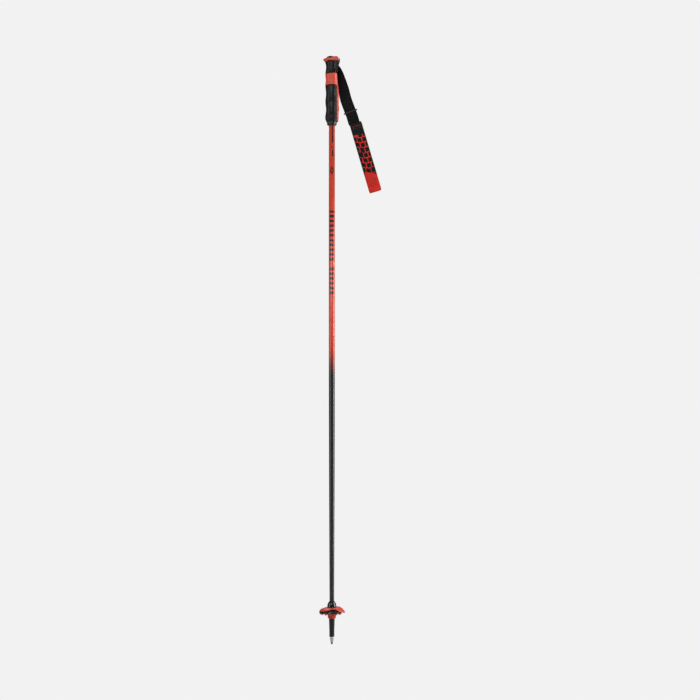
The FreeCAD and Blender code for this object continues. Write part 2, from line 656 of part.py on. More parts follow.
def make_head(core):
    """The rim with its beak, the insert on top, the wedge and its cross pin."""
    foot = level("rim_foot")
    top = f"{foot} + Sizes.rim_height"
    wide = "Sizes.rim_half_width"
    side_start = "Sizes.rim_palm - Sizes.rim_corner"
    arm = "Sizes.channel_half_width"
    rim = plate("rim_blank", "XY_Plane", [
        ("-(Sizes.beak_reach - 1.2)", "-2"),
        ("-4", f"-{wide}"),
        (side_start, f"-{wide}"),
        ("Sizes.rim_palm", f"-({wide} - Sizes.rim_corner * 0.8)"),
        ("Sizes.rim_palm", f"-{arm}"),
        ("Sizes.channel_floor", f"-{arm}"),
        ("Sizes.channel_floor", arm),
        ("Sizes.rim_palm", arm),
        ("Sizes.rim_palm", f"{wide} - Sizes.rim_corner * 0.8"),
        (side_start, wide),
        ("-4", wide),
        ("-(Sizes.beak_reach - 1.2)", "2"),
    ], "Sizes.rim_height", {0: "26", 2: "Sizes.rim_corner", 8: "Sizes.rim_corner", 10: "26",
                            11: "2.2"}, offset=foot)

    def arm_edge(edge):
        """Chooses the top edges along the arms' outer sides and round their corners."""
        middle = edge.CenterOfMass
        beside = abs(middle.y) > size(arm) + 1 and middle.x > -size("Sizes.channel_floor")
        return beside and edge.BoundBox.ZMin > size(top) - 0.01

    soft = rounded("rim_soft", rim, "Sizes.rim_edge", arm_edge)
    seat = insert_outline("seat", f"{top} - Sizes.insert_seat", f"{top} + 1", "0")
    pin = solid("Cylinder", "pin", Radius="Sizes.lock_pin_radius",
                Height=f"2 * ({wide} - 1)",
                Placement__Base__x="Sizes.lock_pin_x", Placement__Base__y=f"{wide} - 1",
                Placement__Base__z=level("lock_pin_depth"))
    pin.Placement.Rotation = FreeCAD.Rotation(FreeCAD.Vector(1, 0, 0), 90)
    under = plate("beak_underside", "XZ_Plane", [
        ("-Sizes.beak_reach - 1", f"{foot} - 1"),
        ("-Sizes.crown_front", f"{foot} - 1"),
        ("-Sizes.crown_front", foot),
        ("-Sizes.beak_reach - 1", f"{foot} + Sizes.rim_height / 2"),
    ], "4 * Sizes.rim_half_width", both_ways=True)
    head = soft
    for number, tool in enumerate((seat, under, core, pin)):
        head = cut(f"rim_cut_{number}", head, tool)
    node(head, "head_rim")
    node(pin, "lock_pin")
    node(insert_outline("insert", f"{top} - Sizes.insert_seat", "Sizes.pole_length", "2.2"),
         "head_insert")

    wedge_top = level("wedge_top")
    blank = plate("wedge_blank", "XZ_Plane", [
        ("Sizes.wedge_front", level("wedge_foot")),
        ("Sizes.wedge_heel", f"{level('wedge_foot')} - 1.2"),
        ("Sizes.lip_palm - 0.3", f"{level('lip_depth')} - 1.5"),
        ("Sizes.lip_palm", level("lip_depth")),
        ("Sizes.lip_palm", f"{wedge_top} - 1.4"),
        ("Sizes.lip_palm - 1.4", wedge_top),
        ("Sizes.wedge_front", wedge_top),
    ], "2 * Sizes.wedge_half_width", {4: "1.4"}, both_ways=True)
    gap = "(Sizes.lock_pin_radius + Sizes.lock_pin_gap)"
    track = block("pin_track", f"Sizes.lock_pin_x - {gap}", f"Sizes.lock_pin_x + {gap}", f"2 * {wide}",
                  f"{level('lock_pin_depth')} - Sizes.wedge_lift - {gap}",
                  f"{level('lock_pin_depth')} + {gap}")
    node(cut("wedge", blank, track), "strap_wedge")


def insert_outline(name, z_from, z_to, draw_in):
    """An oval block on top of the head. draw_in is how much smaller its top is all round."""
    ovals = []
    for label, height, less in (("low", z_from, "0"), ("high", z_to, draw_in)):
        ovals.append(solid(
            "Ellipse", f"{name}_{label}",
            MajorRadius=f"(Sizes.insert_front + Sizes.insert_back) / 2 - {less}",
            MinorRadius=f"Sizes.insert_half_width - {less}",
            Placement__Base__x="(Sizes.insert_back - Sizes.insert_front) / 2",
            Placement__Base__z=height))
    body = doc.addObject("Part::Loft", name)
    body.Sections = ovals
    body.Solid = True
    return body


def strap_frame(name, shift=0.0):
    """A strap station's place and the directions across it, through it and along it."""
    place = FreeCAD.Vector(size(f"Sizes.strap_{name}_reach"), 0, size(level(f"strap_{name}_depth")))
    twist = math.radians(size(f"Sizes.strap_{name}_twist"))
    lean = math.radians(size("Sizes.pad_lean"))
    flat_across = FreeCAD.Vector(math.cos(lean), 0, math.sin(lean))
    edge_across = FreeCAD.Vector(0, -1, 0)
    across = flat_across * math.sin(twist) + edge_across * math.cos(twist)
    down = FreeCAD.Vector(math.sin(lean), 0, -math.cos(lean))
    through = down.cross(across)
    return place + across * shift, across, through


def make_strap_legs():
    """The two webbing legs, each a ruled band that twists from edge-on to flat."""
    half = size("Sizes.webbing_width") / 2
    thick = size("Sizes.webbing_thickness")
    gap = size("Sizes.webbing_gap")
    names = [station[0] for station in STRAP_STATIONS]
    for label, sign in (("front", 1), ("back", -1)):
        wires = []
        for name in names:
            spread = size(f"Sizes.strap_{name}_spread")
            place, across, through = strap_frame(name, -sign * spread)
            if name == names[-1]:
                previous, _, _ = strap_frame(names[-2], -sign * spread)
                place += (previous - place).normalize() * size("Sizes.fold_gap")
            near = place + through * (sign * gap / 2)
            far = place + through * (sign * (gap / 2 + thick))
            wires.append(Part.makePolygon([near - across * half, near + across * half,
                                           far + across * half, far - across * half,
                                           near - across * half]))
        leg = doc.addObject("Part::Feature", f"leg_{label}")
        leg.Shape = Part.makeLoft(wires, True, True)
        node(leg, f"strap_leg_{label}")


def make_strap_anchor():
    """The folded webbing end in the channel, and its bend out of the mouth."""
    half = "Sizes.webbing_width / 2"
    front = "Sizes.channel_floor + 0.15"
    back = "Sizes.wedge_front - 0.2"
    bend = "Sizes.anchor_bend"
    turn = f"({level('wedge_foot')} - 2)"
    band = plate("anchor", "XZ_Plane", [
        (front, level("anchor_top")),
        (front, f"{turn}"),
        (f"{front} + {bend} + 1.2", f"{turn} - {bend} - 0.4"),
        (f"{back} + {bend} - 1.4", f"{turn} - {bend} + 2.6"),
        (back, turn),
        (back, level("anchor_top")),
    ], f"2 * {half}", {1: "-8", 3: "6"}, both_ways=True)
    node(band, "strap_anchor")


def hang_from_fold(item):
    """Puts a piece made round the fold at the origin, hanging down, where the strap's fold is."""
    item.Placement.Rotation = FreeCAD.Rotation(FreeCAD.Vector(0, 1, 0), -size("Sizes.pad_lean"))
    bind(item, Placement__Base__x="Sizes.strap_fold_reach",
         Placement__Base__z=level("strap_fold_depth"),
         Placement__Rotation__Angle="-Sizes.pad_lean")
    return item


def loop_layer(name, near, far, start, width, shift):
    """One layer of the hand loop: two straight legs and a round end, between two distances from
    the webbing's inner face, in the fold's own frame."""
    lean = "Sizes.loop_spread"
    inner = "(Sizes.webbing_gap / 2)"
    outside = "(Sizes.webbing_thickness + Sizes.cover_thickness)"
    reach = f"(Sizes.loop_length - {outside})"
    bend = f"(({inner} * cos({lean}) + {reach} * sin({lean})) / (1 + sin({lean})))"
    centre = f"({bend} - {reach})"

    def leg_start(distance):
        return (f"{inner} + ({distance}) / cos({lean}) + {start} * tan({lean})", f"-{start}")

    def leg_end(distance):
        radius = f"({bend} + ({distance}))"
        return (f"{radius} * cos({lean})", f"{centre} + {radius} * sin({lean})")

    def bottom(distance):
        return ("0", f"{centre} - ({bend} + ({distance}))")

    def mirrored(point):
        return (f"-({point[0]})", point[1])

    points = [leg_start(far), leg_end(far), bottom(far), mirrored(leg_end(far)),
              mirrored(leg_start(far)), mirrored(leg_start(near)), mirrored(leg_end(near)),
              bottom(near), leg_end(near), leg_start(near)]
    points.reverse()
    wide = f"({bend} + ({far}))"
    tight = f"({bend} + ({near}))"
    arcs = {1: tight, 2: tight, 6: f"-{wide}", 7: f"-{wide}"}
    arcs = {side: (f"-{rule}" if not rule.startswith("-") else rule[1:]) for side, rule in arcs.items()}
    body = doc.addObject("PartDesign::Body", name)
    sketch = outline(body, "YZ_Plane", f"{name}_outline", points, arcs, f"{shift} - ({width}) / 2")
    pad = body.newObject("PartDesign::Pad", f"{name}_pad")
    pad.Profile = sketch
    pad.setExpression("Length", width)
    doc.recompute()
    return hang_from_fold(body)


def make_hand_loop():
    """The loop's webbing, its printed cover and its lining."""
    webbing = "Sizes.webbing_thickness"
    node(loop_layer("loop", "0", webbing, "Sizes.fold_gap", "Sizes.webbing_width",
                    "Sizes.loop_shift"), "strap_loop")
    node(loop_layer("cover", webbing, f"{webbing} + Sizes.cover_thickness", "Sizes.cover_start",
                    "Sizes.cover_width", "Sizes.cover_shift"), "strap_pad_cover")
    node(loop_layer("lining", "-Sizes.lining_thickness", "0", "Sizes.lining_start",
                    "Sizes.lining_width", "Sizes.cover_shift"), "strap_pad_lining")


def make_keeper():
    """The keeper: a flat ring round both legs."""
    wall = "Sizes.keeper_wall"
    outer_x = "(Sizes.keeper_width / 2 + Sizes.keeper_wall)"
    low = "(Sizes.keeper_distance - Sizes.keeper_height / 2)"
    high = "(Sizes.keeper_distance + Sizes.keeper_height / 2)"
    outer = block("keeper_outer", f"-{outer_x}", outer_x, f"Sizes.keeper_opening / 2 + {wall}", low,
                  high)
    inner = block("keeper_inner", "-Sizes.keeper_width / 2", "Sizes.keeper_width / 2",
                  "Sizes.keeper_opening / 2", f"{low} - 1", f"{high} + 1")
    ring = cut("keeper", outer, inner)
    tip, _, _ = strap_frame("fold")
    last, _, _ = strap_frame("flat")
    lean = math.degrees(math.atan2(tip.x - last.x, last.z - tip.z))
    ring.Placement.Rotation = FreeCAD.Rotation(FreeCAD.Vector(0, 1, 0), -lean)
    bind(ring, Placement__Base__x="Sizes.strap_fold_reach",
         Placement__Base__z=level("strap_fold_depth"))
    print(f"keeper leans {lean:.4f} degrees")
    node(ring, "strap_keeper")


def check_document():
    """Stops if any object failed or any sub-part isn't a valid solid."""
    failed = [item.Label for item in doc.Objects if {"Invalid", "Error"} & set(item.State)]
    if failed:
        raise RuntimeError(f"these objects failed: {failed}")
    for item in NODES:
        shape = item.Shape
        if shape.isNull() or not shape.isValid() or not shape.Solids:
            raise RuntimeError(f"{item.Label} has no valid solid")


def write_parts():
    """Writes each sub-part's STEP file and prints what it holds."""
    os.makedirs("parts", exist_ok=True)
    for item in NODES:
        item.Shape.exportStep(f"parts/{item.Label}.step")
        box = item.Shape.BoundBox
        print(f"{item.Label:20s} {len(item.Shape.Solids)} solids {item.Shape.Volume / 1000:9.3f} cm3  "
              f"x {box.XMin:.1f}..{box.XMax:.1f}  z {box.ZMin:.1f}..{box.ZMax:.1f}")


def main():
    """Builds every sub-part, checks it and writes its STEP file."""
    fill_sheet()
    make_shaft()
    make_tip()
    make_ferrule()
    make_basket()
    core = make_grip()
    make_toothed_collar()
    make_head(core)
    make_strap_anchor()
    make_strap_legs()
    make_keeper()
    make_hand_loop()
    doc.recompute()
    check_document()
    write_parts()


GRIP_END = "(Sizes.pole_length - Sizes.grip_length)"
GRIP_FOOT = "(Sizes.pole_length - Sizes.grip_length + Sizes.toothed_height)"

main()
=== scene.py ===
"""An alpine ski pole on a pale floor.

Everything is in metres in the frame's own axes: the tip's lowest point is the origin, +Z runs up the
shaft and +X points from the finger side of the grip to the palm side.
"""

import json
from math import acos, atan2, copysign, cos, degrees, exp, pi, radians, sin, sqrt, tan

import bmesh
import bpy
from mathutils import Matrix, Vector


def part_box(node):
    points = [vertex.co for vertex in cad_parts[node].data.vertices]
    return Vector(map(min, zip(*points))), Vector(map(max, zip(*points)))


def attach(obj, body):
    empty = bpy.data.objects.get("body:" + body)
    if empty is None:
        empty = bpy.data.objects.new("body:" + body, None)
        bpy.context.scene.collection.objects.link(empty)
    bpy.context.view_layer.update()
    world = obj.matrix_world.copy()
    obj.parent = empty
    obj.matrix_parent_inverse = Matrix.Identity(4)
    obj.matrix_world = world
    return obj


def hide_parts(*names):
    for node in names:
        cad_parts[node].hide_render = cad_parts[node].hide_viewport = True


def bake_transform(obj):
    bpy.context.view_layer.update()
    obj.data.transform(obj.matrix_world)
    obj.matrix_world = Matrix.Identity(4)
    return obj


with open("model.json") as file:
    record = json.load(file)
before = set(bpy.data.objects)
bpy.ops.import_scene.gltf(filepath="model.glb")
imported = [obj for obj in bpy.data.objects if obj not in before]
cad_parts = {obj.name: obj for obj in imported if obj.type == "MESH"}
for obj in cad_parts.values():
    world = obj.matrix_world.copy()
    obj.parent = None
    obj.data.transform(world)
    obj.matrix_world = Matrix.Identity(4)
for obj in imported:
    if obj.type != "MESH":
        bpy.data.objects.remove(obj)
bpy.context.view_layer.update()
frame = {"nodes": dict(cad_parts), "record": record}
scene = bpy.context.scene

MM = 0.001


def box(node):
    """A CAD node's lowest and highest corners at rest, in millimetres."""
    return tuple(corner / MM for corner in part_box(node))


HEAD = box("head_insert")[1].z              # the top of the head


# ---- shader expressions

class Sock:
    """A shader socket whose operators add Math nodes."""

    def __init__(self, paint, socket):
        self.paint = paint
        self.socket = socket

    def math(self, operation, *others):
        inputs = {i: value for i, value in enumerate((self, *others))}
        return self.paint.node("ShaderNodeMath", {"operation": operation}, inputs)

    def __rsub__(self, other):
        return self.paint.node("ShaderNodeMath", {"operation": "SUBTRACT"}, {0: other, 1: self})

    def __abs__(self):
        return self.math("ABSOLUTE")

    def wave(self, length):
        """A sine from -1 to 1 that repeats after length."""
        return (self * (2 * pi / length)).math("SINE")

    def between(self, low, high):
        return (self > low) * (self < high)

    def ramp(self, low, high):
        """0 at low, 1 at high, smooth between them."""
        return self.paint.node("ShaderNodeMapRange", {"interpolation_type": "SMOOTHSTEP"},
                               {"Value": self, "From Min": low, "From Max": high})


def operator(operation):
    return lambda sock, other: sock.math(operation, other)


for method, operation in (
        ("__add__", "ADD"), ("__radd__", "ADD"), ("__sub__", "SUBTRACT"), ("__mul__", "MULTIPLY"),
        ("__rmul__", "MULTIPLY"), ("__truediv__", "DIVIDE"), ("__mod__", "FLOORED_MODULO"),
        ("__gt__", "GREATER_THAN"), ("__lt__", "LESS_THAN"), ("least", "MINIMUM"), ("most", "MAXIMUM")):
    setattr(Sock, method, operator(operation))


class Paint:
    """One material. Its fixed numbers sit on the shader's own sockets."""

    def __init__(self, name, base, roughness, **sockets):
        self.material = bpy.data.materials.new(name)
        self.material.use_nodes = True
        self.tree = self.material.node_tree
        self.shader = self.tree.nodes["Principled BSDF"]
        self.feed(self.shader.inputs["Base Color"], base)
        self.feed(self.shader.inputs["Roughness"], roughness)
        for key, value in sockets.items():
            self.feed(self.shader.inputs[key.replace("_", " ")], value)

    def feed(self, target, value):
        if isinstance(value, Sock):
            self.tree.links.new(value.socket, target)
        elif isinstance(value, tuple) and target.type == "RGBA":
            target.default_value = (*value[:3], 1.0)
        else:
            target.default_value = value

    def node(self, kind, settings=None, inputs=None, output=0):
        """Adds a node: its settings first, then the values or links of its sockets."""
        item = self.tree.nodes.new(kind)
        for key, value in (settings or {}).items():
            setattr(item, key, value)
        for key, value in (inputs or {}).items():
            self.feed(item.inputs[key], value)
        return Sock(self, item.outputs[output])

    def place(self):
        """The point's place on the object: its vector, and its x, y and z."""
        vector = self.node("ShaderNodeTexCoord", output="Object")
        return vector, self.split(vector)

    def flat(self):
        """The point's place on the cloth: across it and along it, in metres."""
        vector = self.node("ShaderNodeUVMap", {"uv_map": "cloth"})
        across, along, _ = self.split(vector)
        return across, along

    def split(self, vector):
        item = self.tree.nodes.new("ShaderNodeSeparateXYZ")
        self.feed(item.inputs[0], vector)
        return [Sock(self, output) for output in item.outputs]

    def noise(self, vector, scale, detail=2.0):
        return self.node("ShaderNodeTexNoise", None,
                         {"Vector": vector, "Scale": scale, "Detail": detail})

    def mix(self, factor, first, second):
        """first where factor is 0, second where it is 1."""
        item = self.tree.nodes.new("ShaderNodeMix")
        item.data_type = "RGBA"
        for key, value in ((0, factor), (6, first), (7, second)):
            self.feed(item.inputs[key], value)
        return Sock(self, item.outputs[2])

    def bump(self, height, distance, strength=1.0):
        """Raises the surface by height times distance."""
        normal = self.node("ShaderNodeBump", None,
                           {"Height": height, "Distance": distance, "Strength": strength})
        self.feed(self.shader.inputs["Normal"], normal)

    def colour(self, value):
        self.feed(self.shader.inputs["Base Color"], value)

    def rough(self, value):
        self.feed(self.shader.inputs["Roughness"], value)


# ---- finishes

ORANGE = (0.62, 0.066, 0.030)
RED = (0.80, 0.028, 0.017)
BLACK = (0.006, 0.006, 0.007)


def orange_plastic():
    """Moulded plastic with a fine spark-eroded grain and a little scuffing."""
    paint = Paint("orange_plastic", ORANGE, 0.42, Specular_IOR_Level=0.45)
    vector, _ = paint.place()
    cloud = paint.noise(vector, 60.0, 3.0)
    paint.colour(paint.mix(cloud, (0.58, 0.056, 0.026), (0.66, 0.072, 0.036)))
    paint.rough(0.36 + cloud * 0.16)
    paint.bump(paint.noise(vector, 4500.0), 0.00006, 0.6)
    return paint.material


def black_plastic(name, roughness, base=BLACK, coat=0.0, grain=0.00005):
    """Hard black plastic, from satin to gloss."""
    paint = Paint(name, base, roughness, Coat_Weight=coat, Coat_Roughness=0.16)
    vector, _ = paint.place()
    cloud = paint.noise(vector, 90.0, 3.0)
    paint.rough(cloud * (roughness * 0.3) + roughness * 0.85)
    paint.bump(paint.noise(vector, 3800.0), grain, 0.5)
    return paint.material


def soft_rubber(name, base, roughness, pitch=0.0011):
    """Soft rubber with fine moulded dimples."""
    paint = Paint(name, base, roughness, Specular_IOR_Level=0.20)
    vector, (x, _, z) = paint.place()
    cloud = paint.noise(vector, 45.0, 3.0)
    dust = paint.noise(vector, 700.0)
    paint.colour(paint.mix(cloud, base, tuple(c * 1.5 for c in base)))
    paint.rough(cloud * 0.12 + dust * 0.08 + (roughness - 0.10))
    dimples = x.wave(pitch) * z.wave(pitch) * 0.5
    paint.bump(dimples + dust * 0.6, 0.00008, 0.7)
    return paint.material


def shaft_lacquer():
    """Satin lacquer: orange above, black below, with plain bars and lines, and painted shade that lifts
    the black up the middle.
    """
    paint = Paint("shaft_lacquer", ORANGE, 0.34, Coat_Weight=0.35, Coat_Roughness=0.18)
    vector, (x, _, z) = paint.place()
    grain = paint.noise(vector, 900.0)
    cloud = paint.noise(vector, 25.0)
    # Painted shade: a stripe down the middle, facing front and back, lifts the black fade by up to 16
    # mm there, where less light falls than on the lit edges.
    painted_middle_shade = 1 - (abs(x) * 250.0).least(1.0)
    level = z - (grain - 0.5) * 0.030 - painted_middle_shade * 0.016
    black_below, orange_above = 0.606, 0.690
    fade = level.ramp(black_below, orange_above)
    lacquer = paint.mix(cloud, (0.60, 0.050, 0.020), (0.68, 0.066, 0.028))
    ground = paint.mix(fade, (0.010, 0.010, 0.011), lacquer)
    paint.colour(paint.mix(printed_marks(x, z), ground, (0.012, 0.011, 0.012)))
    paint.rough(0.30 + cloud * 0.10 + (1 - fade) * 0.06)
    paint.bump(paint.noise(vector, 2600.0), 0.00002, 0.4)
    return paint.material


def printed_marks(x, z):
    """The ink on the shaft's front and back, by place across and up it: plain lines near the grip,
    an open rhomb, and rows of straight bars."""
    line = abs(x - 0.0015) < 0.00125
    thin = abs(x + 0.0042) < 0.0003
    lines_up = z.between(1.150, 1.189)
    dash = line * z.between(1.119, 1.134)
    dots = (abs(x - 0.0005) < 0.0022) * z.between(1.139, 1.1412)
    from_rhomb = abs(x) * 2.4 + abs(z - 1.0865)
    rhomb = (from_rhomb < 0.0105) * (from_rhomb > 0.0050)
    pitch, bar, half_width = 0.0110, 0.0060, 0.0052
    block = (z % pitch < bar) * (abs(x) < half_width) * z.between(0.7975, 0.9945)
    gaps = 1 - z.between(0.868, 0.876) - z.between(0.929, 0.934)
    ink = (line * lines_up).most(thin * lines_up * 0.5).most(dash).most(dots).most(rhomb)
    return ink.most(block * gaps).least(1.0)


def steel(name, base, roughness):
    """Turned metal with fine rings round the axis."""
    paint = Paint(name, base, roughness, Metallic=1.0)
    vector, (_, _, z) = paint.place()
    turned = z.wave(0.00045)
    cloud = paint.noise(vector, 300.0, 3.0)
    paint.rough(cloud * 0.15 + roughness)
    paint.bump(turned * 0.5 + cloud * 0.4, 0.00004, 0.6)
    return paint.material


def webbing():
    """Woven tape: ribs across it, a herringbone and a tight edge."""
    paint = Paint("black_webbing", BLACK, 0.70, Specular_IOR_Level=0.10)
    across, along = paint.flat()
    ribs = along.wave(0.0009)
    twill = (along + abs(across) * 1.2).wave(0.0013)
    edge = abs(across) > 0.0088
    thread = ribs * 0.6 + twill * (1 - edge) * 0.5
    # Painted shade: the colour follows the weave's height, darker in its low grooves.
    paint.colour(paint.mix(thread * 0.5 + 0.5, (0.004, 0.004, 0.005), (0.010, 0.010, 0.011)))
    paint.bump(thread, 0.00016, 0.8)
    return paint.material


def printed_cloth():
    """The pad's cover: black at its top, plain angular blocks on red, then plain red. It is drawn by
    the distance down from the nearer end, so that both faces match."""
    paint = Paint("printed_cloth", RED, 0.62, Specular_IOR_Level=0.12)
    across, along = paint.flat()
    cover_length, row_height, column_width = 0.341, 0.0122, 0.0112
    down = along.least(cover_length - along)
    row = (down - across * 0.20 + abs(across) * 0.25) / row_height
    stagger = (row.math("FLOOR") % 2.0) * 0.38
    column = (across + 0.0150) / column_width + stagger
    cell = paint.node("ShaderNodeCombineXYZ", None, {
        "X": column.math("FLOOR"), "Y": row.math("FLOOR"), "Z": 3.0})
    chance = paint.node("ShaderNodeTexWhiteNoise", {"noise_dimensions": "3D"}, {"Vector": cell})
    rows_apart = (row % 1.0).between(0.10, 0.90).most(chance > 0.72)
    in_column = column % 1.0
    columns_apart = in_column.between(0.11, 0.91).most(
        ((chance * 7.0) % 1.0 > 0.62) * (in_column > 0.5))
    blocks = columns_apart * rows_apart * (chance > 0.13)
    printed = blocks * (down > 0.028) * (down - across * 0.45 < 0.122)
    top = down - across * 0.10 < 0.0290
    edge = (abs(across) > 0.0130) * (down < 0.1235)
    from_middle = across * 80.0
    bow = 1 - from_middle * from_middle
    hem = (abs(down - 0.0100 + bow * 0.0020) < 0.0010) * across.between(-0.0105, 0.0125)
    ink = printed.most(top).most(edge).least(1.0)
    ribs = along.wave(0.0007)
    twill = (along + across).wave(0.0010)
    thread = ribs * 0.5 + twill * 0.5
    # Painted shade: the red and the black both follow the weave's height, darker in its low grooves.
    red = paint.mix(thread * 0.5 + 0.5, (0.62, 0.024, 0.015), (0.74, 0.036, 0.022))
    black = paint.mix(thread * 0.5 + 0.5, (0.004, 0.006, 0.006), (0.009, 0.012, 0.012))
    printed_colours = paint.mix(ink, red, black)
    paint.colour(paint.mix(hem, printed_colours, (0.20, 0.012, 0.012)))
    paint.bump(thread, 0.00010, 0.7)
    return paint.material


def lining():
    """Knitted lining with a spacer-mesh pattern of small holes."""
    paint = Paint("black_lining", (0.014, 0.014, 0.015), 0.85, Sheen_Weight=0.2)
    across, along = paint.flat()
    cells = across.wave(0.0022) * along.wave(0.0026)
    # Painted shade: the holes, which the bump sinks, are painted darker.
    paint.colour(paint.mix(cells > 0.35, (0.018, 0.018, 0.020), (0.004, 0.004, 0.004)))
    paint.bump(cells.most(0.0), 0.0003, -0.9)
    return paint.material


def finish_materials():
    """One material for each finish."""
    return {
        "shaft_lacquer": shaft_lacquer(),
        "hard_black_plastic": black_plastic("hard_black_plastic", 0.36),
        "gloss_black_plastic": black_plastic("gloss_black_plastic", 0.24, coat=0.2, grain=0.00001),
        "soft_black_rubber": soft_rubber("soft_black_rubber", (0.006, 0.006, 0.007), 0.46),
        "pad_rubber": soft_rubber("pad_rubber", (0.007, 0.007, 0.008), 0.36, 0.0016),
        "orange_plastic": orange_plastic(),
        "black_webbing": webbing(),
        "printed_cloth": printed_cloth(),
        "black_lining": lining(),
        "steel": steel("steel", (0.74, 0.70, 0.68), 0.30),
        "carbide": steel("carbide", (0.13, 0.12, 0.125), 0.42),
        "thread_dark": black_plastic("thread_dark", 0.7, (0.030, 0.008, 0.008)),
        "thread_red": black_plastic("thread_red", 0.65, (0.20, 0.012, 0.012)),
        "keeper_plastic": black_plastic("keeper_plastic", 0.6, (0.022, 0.004, 0.005)),
        "dark_steel": steel("dark_steel", (0.05, 0.05, 0.055), 0.42),
        "ring_plastic": black_plastic("ring_plastic", 0.24, (0.010, 0.011, 0.012), coat=0.3),
    }

finishes = finish_materials()


# ---- meshes

def curve_through(stops, x):
    """A smooth curve through (x, value) stops, level beyond its ends."""
    if x <= stops[0][0]:
        return stops[0][1]
    if x >= stops[-1][0]:
        return stops[-1][1]
    i = max(k for k in range(len(stops) - 1) if stops[k][0] <= x)
    (x0, y0), (x1, y1) = stops[i], stops[i + 1]

    def slope(k):
        low, high = stops[max(k - 1, 0)], stops[min(k + 1, len(stops) - 1)]
        return (high[1] - low[1]) / (high[0] - low[0])
    span = x1 - x0
    t = (x - x0) / span
    return (y0 * (1 + 2 * t) * (1 - t) ** 2 + slope(i) * span * t * (1 - t) ** 2
            + y1 * t * t * (3 - 2 * t) + slope(i + 1) * span * t * t * (t - 1))


def smooth(low, high, x):
    """0 at low, 1 at high, smooth between them."""
    t = min(max((x - low) / (high - low), 0.0), 1.0)
    return t * t * (3 - 2 * t)


def piece(name, verts, faces, material, uvs=None, bevel=0.0):
    """A smooth-shaded mesh with its normals outwards. Lengths are in millimetres."""
    mesh = bpy.data.meshes.new(name)
    mesh.from_pydata([tuple(c * MM for c in v) for v in verts], [], faces)
    if uvs:
        layer = mesh.uv_layers.new(name="cloth")
        for loop in mesh.loops:
            layer.data[loop.index].uv = uvs[loop.vertex_index]
    work = bmesh.new()
    work.from_mesh(mesh)
    bmesh.ops.recalc_face_normals(work, faces=work.faces)
    work.to_mesh(mesh)
    work.free()
    mesh.materials.append(finishes[material])
    item = bpy.data.objects.new(name, mesh)
    scene.collection.objects.link(item)
    for polygon in mesh.polygons:
        polygon.use_smooth = True
    if bevel:
        soften = item.modifiers.new("edge", "BEVEL")
        soften.width, soften.segments, soften.limit_method = bevel * MM, 3, "ANGLE"
        soften.angle_limit = radians(35)
        settle(item)
    return item


def settle(item):
    """Replaces an object's mesh with its evaluated one and removes its modifiers."""
    bpy.context.view_layer.update()
    done = bpy.data.meshes.new_from_object(item.evaluated_get(bpy.context.evaluated_depsgraph_get()))
    item.modifiers.clear()
    item.data = done


def rings(rows, closed=False):
    """The points and faces of a tube given as rings of points. Its ends meet if it is closed, or
    else are capped."""
    wide, tall = len(rows[0]), len(rows)
    verts = [point for row in rows for point in row]
    faces = []
    for j in range(tall if closed else tall - 1):
        for i in range(wide):
            k, m = (i + 1) % wide, (j + 1) % tall
            faces.append((j * wide + i, j * wide + k, m * wide + k, m * wide + i))
    if not closed:
        faces.append(tuple(reversed(range(wide))))
        faces.append(tuple((tall - 1) * wide + i for i in range(wide)))
    return verts, faces


def lathed(name, outline, material, centre=None, wobble=None, steps=144, bevel=0.0):
    """A ring turned from a closed outline of (radius, height) points. centre gives its middle's
    place along X at a height."""
    rows = []
    for i in range(steps):
        a = 2 * pi * i / steps
        row = []
        for r, z in outline:
            reach = r + (wobble(a, r, z) if wobble else 0.0)
            middle = centre(z) if centre else 0.0
            row.append((middle + reach * cos(a), reach * sin(a), z))
        rows.append(row)
    verts, faces = rings(rows, closed=True)
    return piece(name, verts, faces, material, bevel=bevel)


def around_axis(angle):
    """The direction away from the shaft's axis at an angle in radians."""
    return Vector((cos(angle), sin(angle), 0))


def lifted(foot, *points):
    """Points of an outline, raised by the height of its foot."""
    return [(r, foot + z) for r, z in points]


def prism(name, outline, half_width, material, bevel, middle=0.0):
    """A block of an (x, z) outline, as wide as it is told, about a middle across the pole."""
    near = [(x, middle - half_width, z) for x, z in outline]
    far = [(x, middle + half_width, z) for x, z in outline]
    verts, faces = rings([near, far])
    return piece(name, verts, faces, material, bevel=bevel)


